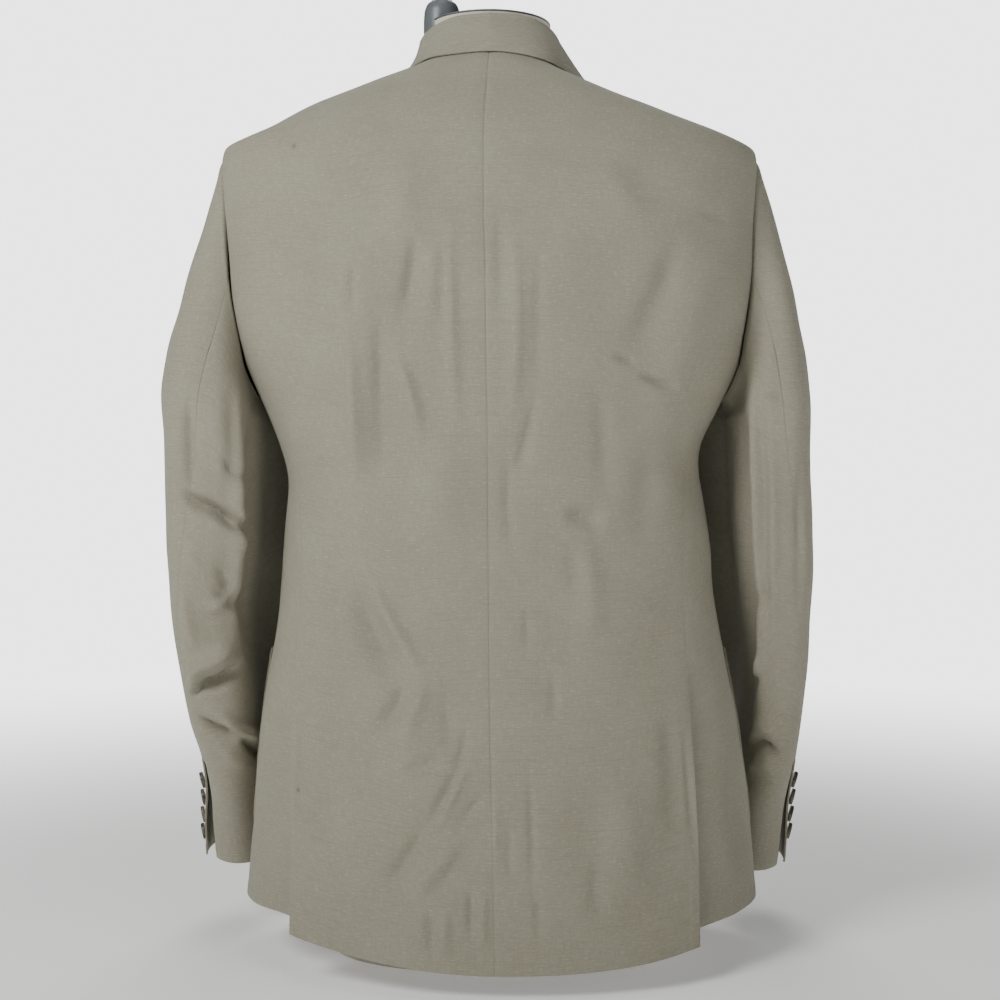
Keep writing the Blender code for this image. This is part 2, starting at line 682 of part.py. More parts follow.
def collar_section(along, side):
    """Points across the collar at one place: up the stand, over the fold and down the fall."""
    row = {name: along_collar(along, name) for name in CollarRow._fields}
    fold = Vector((side * row["fold_x"], row["fold_y"], row["fold_z"]))
    hang = reading(SHOULDER_DROP, NECK, "left" if side > 0 else "right") * (row["seam_x"] / SEAM_REACH) ** 2
    seam = Vector((side * row["seam_x"], row["seam_y"], row["seam_z"] - hang))
    front = along > 0.5
    angle = angle_at_x(row["edge_z"], row["edge_x"], front)
    edge = on_torso(row["edge_z"] - NECK_RISE * (along < 0.3) * (1 - along / 0.3), angle, side, FALL_LIFT)
    if front:
        drawn = between(along, 0.62, 1.0)
        notch = on_front(COLLAR_NOTCH[0], COLLAR_NOTCH[1], side, FALL_LIFT)
    out = Vector((edge.x - seam.x, edge.y - seam.y, 0)).normalized()
    points = [seam.lerp(fold - out * FOLD_RADIUS, t) for t in (0.0, 0.12, 0.55, 0.9)]
    points.append(fold - out * FOLD_RADIUS * 0.7 + Vector((0, 0, FOLD_RADIUS * 0.7)))
    points.append(fold + Vector((0, 0, FOLD_RADIUS)))
    points.append(fold + out * FOLD_RADIUS * 0.7 + Vector((0, 0, FOLD_RADIUS * 0.7)))
    top = fold + out * FOLD_RADIUS
    for t in (0.05, 0.35, 0.65, 0.93, 1.0):
        place = top.lerp(edge, t)
        if front:
            bent = top.lerp(notch, t / 0.65) if t < 0.65 else notch.lerp(edge, (t - 0.65) / 0.35)
            place = place.lerp(bent, drawn)
        points.append(clear_of_coat(place + out * FALL_BOW * (1 - along) * sin(pi * t), side, FALL_LIFT))
    return points


def clear_of_coat(point, side, lift):
    """The point itself, or moved out until it is this far off the coat."""
    level = min(point.z, NECK)
    angle = angle_at_x(level, side * (point.x - reading(TORSO, level, "sway")), point.y < 0)
    normal = torso_normal(level, angle, side)
    short = lift + under_lift(level, angle, side) - (point - torso(level, angle, side)).dot(normal)
    return point + normal * max(0.0, short)


def along_collar(along, column):
    """A collar column read smoothly from the centre back, 0, to the front end, 1."""
    last = len(COLLAR) - 1
    keyed = [(i / last, getattr(row, column)) for i, row in enumerate(COLLAR)]
    Spot = namedtuple("Spot", "place value")
    return reading([Spot(*pair) for pair in keyed], along, "value")


def make_collar(cloth):
    places = spread(0.0, 1.0, 13)
    points = [collar_section(place, -1) for place in reversed(places[1:])]
    points += [collar_section(place, +1) for place in places]
    wall("collar", points, Vector((0, 0, 1)), TRIM_CLOTH, cloth)


def make_button(name, radius, place, facing, material):
    """A flat round button with a softened rim, its back just off the cloth."""
    bm = bmesh.new()
    bmesh.ops.create_cone(
        bm, cap_ends=True, segments=16, radius1=radius, radius2=radius, depth=BUTTON_THICK
    )
    made = new_object(name, bm, material)
    made.matrix_world = Matrix.Translation(place + facing * (BUTTON_THICK / 2 + 0.0008)) @ (
        facing.to_track_quat("Z", "Y").to_matrix().to_4x4()
    )
    bevel = made.modifiers.new("rim", "BEVEL")
    bevel.width = BUTTON_THICK * 0.3
    bevel.segments = 1
    return made


def make_buttons(horn):
    for number, height in enumerate(FRONT_BUTTON_HEIGHTS, 1):
        place = on_torso(height, 180, +1, left_over_right(height, 180))
        make_button(f"front_button_{number}", FRONT_BUTTON_RADIUS, place, torso_normal(height, 180, +1), horn)
    for hand, side in (("left", +1), ("right", -1)):
        cuff = SLEEVES[side][0].height
        for number, height in enumerate(CUFF_BUTTON_HEIGHTS, 1):
            along = (height - SLEEVE_TOP) / (cuff - SLEEVE_TOP)
            angle = hind_seam(side, along) - CUFF_BUTTON_INSET
            facing = sleeve_normal(side, along, angle)
            place = sleeve(side, along, angle) + facing * (cuff_gape(side, along) + 0.0004)
            make_button(f"cuff_button_{hand}_{number}", CUFF_BUTTON_RADIUS, place, facing, horn)


def loft(name, rings, material):
    """A closed solid through rings of points, capped at both ends."""
    closed = [[*ring, ring[0]] for ring in rings]
    bm = sheet(closed, Vector((rings[len(rings) // 2][0] - rings[len(rings) // 2][len(rings[0]) // 2])))
    bmesh.ops.remove_doubles(bm, verts=bm.verts, dist=1e-6)
    bmesh.ops.holes_fill(bm, edges=bm.edges, sides=0)
    bmesh.ops.recalc_face_normals(bm, faces=bm.faces)
    return new_object(name, bm, material)


def form_ring(row, height):
    ring = []
    for step in range(FORM_RING):
        angle = 2 * pi * step / FORM_RING
        depth = row.back_depth if cos(angle) >= 0 else row.front_depth
        ring.append(Vector((row.half_width * sin(angle), depth * cos(angle), height)))
    return ring


def make_form(linen, metal):
    loft("form_torso", [form_ring(row, row.height) for row in FORM], linen)
    low = NECK_CAP.height
    loft("form_cap", [form_ring(NECK_CAP, low), form_ring(NECK_CAP, low + NECK_CAP_THICK)], metal)
    rings = []
    for row in POST:
        centre = Vector((POST_X, POST_Y, row.height))
        rings.append(
            [
                centre + Vector((row.radius * sin(a), row.radius * cos(a), 0))
                for a in (2 * pi * step / 20 for step in range(20))
            ]
        )
    loft("form_post", rings, metal)


def make_material(name, colour, roughness, metallic=0.0):
    made = bpy.data.materials.new(name)
    made.use_nodes = True
    shader = made.node_tree.nodes["Principled BSDF"]
    shader.inputs["Base Color"].default_value = (*colour, 1.0)
    shader.inputs["Roughness"].default_value = roughness
    shader.inputs["Metallic"].default_value = metallic
    return made


for stale in list(bpy.data.objects):
    bpy.data.objects.remove(stale)
PARTS = bpy.data.collections.new("sport_coat")
bpy.context.scene.collection.children.link(PARTS)

coat_cloth = make_material("linen_blend_cloth", (0.35, 0.33, 0.27), 0.85)
button_horn = make_material("horn_button", (0.09, 0.075, 0.055), 0.4)
form_cover = make_material("form_cover_cloth", (0.68, 0.66, 0.57), 0.8)
form_metal = make_material("form_grey_metal", (0.13, 0.15, 0.155), 0.45, 0.4)

make_backs(coat_cloth)
make_sides(coat_cloth)
make_fronts(coat_cloth)
make_lapels(coat_cloth)
make_collar(coat_cloth)
make_sleeves(coat_cloth)
make_pockets(coat_cloth)
make_buttons(button_horn)
make_form(form_cover, form_metal)
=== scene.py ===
"""The looks of a sport coat on a limbless dress form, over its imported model. Metres and degrees, +Z up.

The wearer's front faces -Y and the wearer's left is +X. Every coat piece is a thin cloth shell on torso and
sleeve surfaces like its solid's, fitted closer to the photograph, with seams, turned edges and creases added.
"""

from collections import namedtuple

import bpy
import numpy as np
from mathutils import Matrix, Vector


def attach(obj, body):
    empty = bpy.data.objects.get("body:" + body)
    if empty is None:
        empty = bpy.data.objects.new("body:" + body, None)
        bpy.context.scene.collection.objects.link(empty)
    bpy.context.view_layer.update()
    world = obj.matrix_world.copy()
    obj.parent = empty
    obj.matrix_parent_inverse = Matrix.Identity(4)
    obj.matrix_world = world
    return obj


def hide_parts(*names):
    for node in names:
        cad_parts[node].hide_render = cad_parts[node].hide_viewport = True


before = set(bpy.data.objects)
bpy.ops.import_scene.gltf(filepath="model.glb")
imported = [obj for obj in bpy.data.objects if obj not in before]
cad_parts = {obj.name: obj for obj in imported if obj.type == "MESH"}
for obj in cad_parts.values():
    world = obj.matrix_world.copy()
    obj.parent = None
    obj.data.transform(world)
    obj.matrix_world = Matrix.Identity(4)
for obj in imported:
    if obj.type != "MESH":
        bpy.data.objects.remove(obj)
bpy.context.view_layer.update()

# Camera and light
CAMERA_PLACE = (-0.009, 1.325, 0.3936)
CAMERA_LENS_MM = 54.0
SENSOR_MM = 36.0
AMBIENT = 0.03
BACKDROP = 3.2
# Painted light on the floor: it glows this much near the coat, and from GLOW_STARTS the glow rises towards its rim
FLOOR_RADIUS = 2.2
FLOOR_GLOW_NEAR = 0.25
FLOOR_GLOW_RIM = 2.9
GLOW_STARTS = 0.45
LIGHTS_AIM = (0, 0, 0.45)
Light = namedtuple("Light", "name place size power")
LIGHTS = (
    Light("key_window", (1.15, 1.35, 1.55), 0.8, 30),
    Light("fill_panel", (-1.7, 2.1, 1.3), 1.1, 9),
    Light("top_panel", (0.0, 0.3, 3.0), 1.4, 10),
    Light("front_panel", (0.0, -1.7, 2.8), 1.8, 30),
)

# Cloth and gaps
BODY_CLOTH = 0.0020
SLEEVE_CLOTH = 0.0016
TRIM_CLOTH = 0.0016
COLLAR_CLOTH = 0.0011
SEAM_GAP = 0.00012
LAYER_GAP = 0.0012

# How far apart the cloth's rows and columns are; beside an edge they are closer, where seams draw in
CLOTH_STEP = 0.0040
BACK_STEP = 0.0023
SHOULDER_STEP = 0.0014
COLLAR_STEP = 0.0035
EDGE_STEPS = np.array([0.0, 0.0012, 0.0025, 0.0040, 0.0060, 0.0085])
EDGE_BAND = 0.012
FEWEST_STEPS = 4
HEM_STEPS = np.array([0.0, 0.0012, 0.0025, 0.0045, 0.0070])
HEM_BAND = 0.010
BODY_ROWS_END = 0.682
SHOULDER_ROWS_START = 0.6835

# How far to each side of a point its neighbours are taken, to find the surface's slope there
HALF_DEGREE = 0.5
NORMAL_CLIMB = 0.002
SLEEVE_NORMAL_RUN = 0.02

# About how large each piece is, to space its rows and columns
BACK_WIDTH = 0.27
FRONT_WIDTH = 0.24
SIDE_WIDTH = 0.12
SIDE_LENGTH = 0.43
TOP_SLEEVE_WIDTH = 0.21
UNDER_SLEEVE_WIDTH = 0.15
POCKET_WIDTH = 0.175
LAPEL_LENGTH = 0.39
LAPEL_WIDTH = 0.085
COLLAR_HALF_LENGTH = 0.20

# Heights of the coat
HEM = 0.020
VENT_TOP = 0.215
SHOULDER = 0.700
NECK = 0.770
HEM_RISE = 0.031
HEM_CURVE = {+1: 1.8, -1: 2.8}
SIDE_HEM_STEP = 0.014
HEM_RISE_FADES_AT = 0.260
NECK_RISE = 0.007
NECK_RISE_STARTS_AT = 0.735
SHOULDER_EASE = 0.016
SHOULDER_EASE_FADES = (0.730, 0.755)

# Front closing
OVERLAP = 0.018
LAP_STARTS = 130
LAP_FULL = 160
CUTAWAY_TOP = 0.110
CUTAWAY_REACH = 0.075
CORNER_SOFTNESS = 0.97
BREAK = 0.365
BREAK_EASE_BELOW = 0.020
BREAK_EASE_ABOVE = 0.015
GORGE = 0.735
ROLL_AT_BREAK = 0.010
ROLL_AT_GORGE = 0.050
ROLL_AT_NECK = 0.064

# Side vents
VENT_UNDERLAP = 0.030
VENT_EASE = 0.025
VENT_FLARE = 0.0015
VENT_FLARE_ANGLES = (35, 49)
UNDERLAP_SINKS_OVER = (3, 16)

# Side bodies, in shares of their width or length
SIDE_HEM_LEVELS_AT = 0.8
ARMHOLE_PULL_FROM = 0.7
SIDE_CREASES_FULL_AT = 0.3

# Armhole, an oval on the torso seen from the side
ARMHOLE_MID = 0.590
ARMHOLE_HALF = 0.110
ARMHOLE_Y = -0.002
ARMHOLE_BACK = 0.050
ARMHOLE_FRONT = 0.055
BACK_SEAM_MEETS_ARMHOLE = 0.515
FRONT_SEAM_MEETS_ARMHOLE = 0.497

# Sleeves
SLEEVE_TOP = 0.464
SLEEVE_SQUARENESS = 2.8
SQUARE_FROM = 0.150
SQUARE_TO = 0.230
SLEEVE_SEAT_GAP = 0.0002
CAP_HEIGHT = 0.16
CAP_END_STEP = 0.01

# A sleeve's rows: -1 at the armhole, 0 at the underarm, 1 at the cuff
CAP_EDGE_STEPS = np.array([0.0, 0.006, 0.013, 0.022, 0.034])
CAP_ROWS = np.linspace(-0.95, -0.016, 62)
ARM_ROWS = np.linspace(0.0, 0.97, 150)
CUFF_ROWS = [0.98, 0.988, 0.994, 1.0]
CAP_CREASES_FADE = (-1.0, -0.85)

# Sleeve heads, seams and cuffs
SLEEVE_HEAD_PUFF = {+1: 0.007, -1: 0.031}
FORE_SEAM = 225.0
CUFF_TILT = 0.12
CUFF_VENT_TOP = 0.166
CUFF_VENT_EASE = 0.012
CUFF_VENT_GAPE = {+1: 0.0065, -1: 0.004}
CUFF_GAPE_REACH = 45
CUFF_UNDERLAP = 0.020
CUFF_LAYER_GAP = 0.0010
CUFF_SINKS_OVER = (2, 14)

# Patch pockets
POCKET_TOP = 0.262
POCKET_BOTTOM = 0.068
POCKET_BACK = 92.0
POCKET_FRONT = 148.0
POCKET_CORNER = 0.030
POCKET_STAND_OFF = 0.0004
POCKET_GAPE_REACH = 14
POCKET_MIDDLE = (0.16, 120.0)
POCKET_FOOT_STEPS = np.array([0.0, 0.0005, 0.0012, 0.0024, 0.004, 0.006, 0.0085, 0.0115, 0.015])
POCKET_ROWS_START = 0.019
POCKET_ROWS_END = 0.006
POCKET_TOP_STEPS = np.array([0.004, 0.0025, 0.0012, 0.0])

# Buttons
FRONT_BUTTON_RADIUS = 0.010
CUFF_BUTTON_RADIUS = 0.0075
BUTTON_THICK = 0.0032
FRONT_BUTTON_HEIGHTS = (0.350, 0.245)
CUFF_BUTTON_HEIGHTS = (0.138, 0.121, 0.104, 0.087)
CUFF_BUTTON_INSET = 15.0
CUFF_BUTTON_OFF = 0.0004
BUTTON_OFF_CLOTH = 0.0008

# How buttons sit: the lean is a slope, each turns further than the last by so many radians, and a cuff's
# buttons follow this share of its vent's gape
CUFF_BUTTON_LEAN = 0.16
CUFF_BUTTON_GAPE = 0.7
FRONT_BUTTON_TURN = 0.35
CUFF_BUTTON_TURN = 0.5

# A button's turned profile and holes, in shares of its radius or thickness
BUTTON_RIM = 0.16
BUTTON_STEP = 0.12
BUTTON_DISH = 0.22
BUTTON_SOFTNESS = 0.16
HOLE_RADIUS = 0.11
HOLE_PLACE = 0.24
THREAD_RADIUS = 0.75
THREAD_LENGTH = 0.72
THREAD_HEIGHT = 0.36

# Dress form
POST_X = 0.042
POST_Y = 0.004
NECK_CAP_THICK = 0.0016
NECK_CAP_EDGE = 0.0006
NECK_CAP_SHRINK = np.array([0.97, 0.985, 1.0, 1.0, 0.985, 0.97])
FORM_BODY_ROWS = np.linspace(0.0, 0.66, 90)
FORM_SHOULDER_ROWS = np.linspace(0.664, 0.8110, 60)
FORM_COLUMNS = 96
POST_COLUMNS = 48
POST_ROWS = 70

# Rings of the coat from the hem up to the neck; a higher squareness fills the corners
Level = namedtuple("Level", "height half_width back_depth front_depth squareness sway")
TORSO = (
    Level(0.020, 0.2290, 0.1500, 0.138, 2.05, -0.0115),
    Level(0.120, 0.2185, 0.1420, 0.138, 2.10, -0.0100),
    Level(0.200, 0.2085, 0.1320, 0.137, 2.15, -0.0085),
    Level(0.280, 0.1945, 0.1200, 0.136, 2.20, -0.0070),
    Level(0.340, 0.1870, 0.1130, 0.136, 2.25, -0.0060),
    Level(0.400, 0.1845, 0.1120, 0.139, 2.30, -0.0050),
    Level(0.456, 0.1970, 0.1170, 0.143, 2.35, -0.0040),
    Level(0.520, 0.2185, 0.1235, 0.145, 2.40, -0.0020),
    Level(0.580, 0.2310, 0.1265, 0.141, 2.40, -0.0010),
    Level(0.640, 0.2345, 0.1240, 0.129, 2.35, 0.0),
    Level(0.680, 0.2345, 0.1170, 0.114, 2.30, 0.0),
    Level(0.700, 0.2325, 0.1110, 0.104, 2.30, 0.0),
    Level(0.720, 0.1930, 0.1015, 0.090, 2.45, 0.0),
    Level(0.740, 0.1480, 0.0885, 0.074, 2.50, 0.0),
    Level(0.755, 0.1110, 0.0775, 0.062, 2.35, 0.0),
    Level(0.770, 0.0665, 0.0620, 0.048, 2.05, 0.0),
)

# How much lower each shoulder hangs than the torso's rings
Drop = namedtuple("Drop", "height left right")
SHOULDER_DROP = (
    Drop(0.660, 0.0, 0.0),
    Drop(0.700, 0.0040, 0.0050),
    Drop(0.715, 0.0070, 0.0080),
    Drop(0.735, 0.0032, 0.0130),
    Drop(0.750, 0.0062, 0.0180),
    Drop(0.760, 0.0084, 0.0184),
    Drop(0.770, 0.0040, 0.0108),
)

# How far the hanging cloth draws in at each side
DrawIn = namedtuple("DrawIn", "height left right")
DRAW_IN = (
    DrawIn(0.020, 0.0050, 0.0080),
    DrawIn(0.090, 0.0045, 0.0040),
    DrawIn(0.160, 0.0020, 0.0020),
    DrawIn(0.260, 0.0, 0.0),
    DrawIn(0.340, 0.0010, 0.0),
    DrawIn(0.400, 0.0040, 0.0045),
    DrawIn(0.442, 0.0055, 0.0120),
    DrawIn(0.472, 0.0030, 0.0060),
    DrawIn(0.510, 0.0, 0.0),
)

# The largest folds, as in the solids
Fold = namedtuple("Fold", "side angle height lean width half_length depth")
FOLDS = (
    Fold(+1, 33, 0.480, 20, 8, 0.110, -0.0035),
    Fold(+1, 24, 0.550, 30, 7, 0.090, 0.0025),
    Fold(-1, 42, 0.540, 90, 8, 0.080, 0.0035),
    Fold(-1, 34, 0.500, 60, 7, 0.060, -0.0025),
    Fold(+1, 17, 0.190, 75, 7, 0.110, 0.0035),
    Fold(+1, 26, 0.150, 75, 7, 0.100, -0.0030),
    Fold(-1, 11, 0.120, 0, 7, 0.110, 0.0025),
)

# Seams by height: their angle round the torso or the sleeve, or how far the centre seam is off the middle
Seam = namedtuple("Seam", "height angle")
SideSeam = namedtuple("SideSeam", "height left right")
BACK_SIDE_SEAM = (
    SideSeam(0.020, 49.5, 44.5),
    SideSeam(0.120, 52.5, 46.5),
    SideSeam(0.215, 56.0, 49.0),
    SideSeam(0.340, 60.5, 56.0),
    SideSeam(0.420, 66.0, 63.0),
    SideSeam(0.460, 70.0, 69.0),
    SideSeam(0.515, 77.4, 77.4),
)
CentreSeam = namedtuple("CentreSeam", "height offset")
CENTRE_SEAM = (
    CentreSeam(0.020, 0.0065),
    CentreSeam(0.200, 0.0075),
    CentreSeam(0.400, 0.0060),
    CentreSeam(0.580, 0.0040),
    CentreSeam(0.680, 0.0045),
    CentreSeam(0.770, 0.0),
)
FRONT_SIDE_SEAM = (
    Seam(0.020, 105.0),
    Seam(0.280, 105.0),
    Seam(0.400, 102.0),
    Seam(0.497, 99.4),
)
HIND_SEAM = (
    Seam(0.070, 31.0),
    Seam(0.170, 32.0),
    Seam(0.250, 46.0),
    Seam(0.320, 62.0),
    Seam(0.390, 78.0),
    Seam(0.440, 86.0),
    Seam(0.600, 92.0),
)

# Rings of each sleeve from the cuff up; outer is its reach from the middle, and lean draws its front in
SleeveRing = namedtuple("SleeveRing", "height outer width centre_y half_depth lean")
SLEEVES = {
    +1: (
        SleeveRing(0.068, 0.2620, 0.062, -0.098, 0.052, 0.012),
        SleeveRing(0.120, 0.2620, 0.062, -0.082, 0.056, 0.012),
        SleeveRing(0.160, 0.2650, 0.066, -0.067, 0.058, 0.018),
        SleeveRing(0.200, 0.2725, 0.068, -0.052, 0.060, 0.030),
        SleeveRing(0.280, 0.2800, 0.071, -0.028, 0.064, 0.038),
        SleeveRing(0.360, 0.2830, 0.082, -0.010, 0.068, 0.038),
        SleeveRing(0.464, 0.2830, 0.084, -0.004, 0.072, 0.030),
    ),
    -1: (
        SleeveRing(0.060, 0.2740, 0.062, -0.102, 0.052, 0.000),
        SleeveRing(0.120, 0.2775, 0.061, -0.084, 0.055, 0.002),
        SleeveRing(0.160, 0.2805, 0.057, -0.069, 0.058, 0.010),
        SleeveRing(0.200, 0.2818, 0.055, -0.054, 0.060, 0.022),
        SleeveRing(0.280, 0.2836, 0.059, -0.028, 0.064, 0.038),
        SleeveRing(0.360, 0.2818, 0.066, -0.010, 0.068, 0.048),
        SleeveRing(0.464, 0.2772, 0.067, -0.004, 0.072, 0.042),
    ),
}

# The lapel's outer edge from the break up to the notch
LapelRow = namedtuple("LapelRow", "along edge_x edge_height")
LAPEL = (
    LapelRow(0.00, 0.016, 0.366),
    LapelRow(0.15, 0.040, 0.410),
    LapelRow(0.35, 0.073, 0.480),
    LapelRow(0.55, 0.099, 0.550),
    LapelRow(0.75, 0.117, 0.618),
    LapelRow(0.90, 0.127, 0.665),
    LapelRow(1.00, 0.130, 0.684),
)
LAPEL_ROLL = 0.0034
LAPEL_ROLL_TURN = np.radians(np.linspace(-50, 90, 9))
LAPEL_ROLL_FULL_AT = 0.06
LAPEL_EASE = 0.0020
LAPEL_BELLY = 0.004
LAPEL_BELLY_FULL_AT = 0.4
LAPEL_ABOVE_BREAK = 0.004
LAPEL_BELOW_GORGE = 0.0005

# Collar from the centre back to its front end: the fold line, the fall's edge on the coat and the neck seam
CollarRow = namedtuple("CollarRow", "along fold_x fold_y fold_z edge_x edge_z seam_x seam_y seam_z")
COLLAR = (
    CollarRow(0 / 6, 0.000, 0.0535, 0.8034, 0.000, 0.7690, 0.0000, 0.0610, 0.7785),
    CollarRow(1 / 6, 0.027, 0.0475, 0.8027, 0.036, 0.7655, 0.0278, 0.0553, 0.7772),
    CollarRow(2 / 6, 0.047, 0.0310, 0.7995, 0.062, 0.7665, 0.0502, 0.0393, 0.7742),
    CollarRow(3 / 6, 0.059, 0.0080, 0.7930, 0.078, 0.7655, 0.0650, 0.0085, 0.7715),
    CollarRow(4 / 6, 0.064, -0.0180, 0.7810, 0.096, 0.7530, 0.0622, -0.0150, 0.7715),
    CollarRow(5 / 6, 0.059, -0.0490, 0.7630, 0.111, 0.7420, 0.0535, -0.0440, 0.7570),
    CollarRow(6 / 6, 0.052, -0.0785, 0.7375, 0.119, 0.7290, 0.0470, -0.0700, 0.7365),
)
COLLAR_NOTCH = (0.098, 0.7054)
COLLAR_NOTCH_AT = 0.65
COLLAR_DRAWN_FROM = 0.62
COLLAR_SUNK_UNTIL = 0.3
STAND_SHARES = np.concatenate(([0, 0.05, 0.12], np.linspace(0.2, 0.93, 8)))
FOLD_TURN = np.linspace(np.pi, 0, 9)
FALL_SHARES = np.concatenate((np.linspace(0.05, 0.95, 22), [0.97, 0.985, 1.0]))
SEAM_REACH = 0.065
FOLD_RADIUS = 0.0035
FALL_LIFT = 0.0013
STAND_FOOT_DROP = 0.0050
STAND_FOOT_IN = 0.0032

# How far the fall stands out from a straight line between its fold and its edge
FallBow = namedtuple("FallBow", "along left right")
FALL_BOW = (
    FallBow(0.0, 0.0025, 0.0025),
    FallBow(0.3, -0.0005, 0.0015),
    FallBow(0.5, -0.0035, 0.0000),
    FallBow(0.7, -0.0010, 0.0000),
    FallBow(1.0, 0.0, 0.0),
)

# How much further than its rows the fall's edge reaches over each shoulder, and how far it drops there
FallReach = namedtuple("FallReach", "along left right")
FALL_REACH = (
    FallReach(0.00, 0.0, 0.0),
    FallReach(0.30, 0.0, 0.0040),
    FallReach(0.50, 0.0, 0.0120),
    FallReach(0.70, 0.0, 0.0040),
    FallReach(1.00, 0.0, 0.0),
)
FALL_REACH_DROP = 0.42
LEVEL_SEARCHES = 5

# Rings of the dress form from its base up to the neck, and of its turned post
FormRing = namedtuple("FormRing", "height half_width back_depth front_depth")
FORM = (
    FormRing(0.000, 0.135, 0.078, 0.086),
    FormRing(0.040, 0.145, 0.084, 0.092),
    FormRing(0.120, 0.160, 0.098, 0.106),
    FormRing(0.200, 0.165, 0.102, 0.112),
    FormRing(0.280, 0.161, 0.097, 0.112),
    FormRing(0.340, 0.157, 0.093, 0.112),
    FormRing(0.400, 0.158, 0.094, 0.116),
    FormRing(0.460, 0.167, 0.100, 0.121),
    FormRing(0.530, 0.182, 0.107, 0.122),
    FormRing(0.600, 0.196, 0.108, 0.113),
    FormRing(0.650, 0.200, 0.101, 0.098),
    FormRing(0.684, 0.189, 0.089, 0.081),
    FormRing(0.702, 0.171, 0.081, 0.071),
    FormRing(0.715, 0.148, 0.073, 0.063),
    FormRing(0.729, 0.112, 0.063, 0.053),
    FormRing(0.742, 0.080, 0.054, 0.046),
    FormRing(0.756, 0.057, 0.047, 0.042),
    FormRing(0.780, 0.051, 0.0445, 0.042),
    FormRing(0.799, 0.051, 0.0445, 0.042),
    FormRing(0.8110, 0.0525, 0.045, 0.043),
)
NECK_CAP = FormRing(0.8113, 0.0535, 0.0455, 0.044)

PostRing = namedtuple("PostRing", "height radius")
POST = (
    PostRing(0.7995, 0.0150),
    PostRing(0.8060, 0.0162),
    PostRing(0.8132, 0.0162),
    PostRing(0.8220, 0.0156),
    PostRing(0.8285, 0.0135),
    PostRing(0.8335, 0.0088),
    PostRing(0.8420, 0.0080),
    PostRing(0.8500, 0.0095),
    PostRing(0.8560, 0.0085),
    PostRing(0.8590, 0.0045),
)

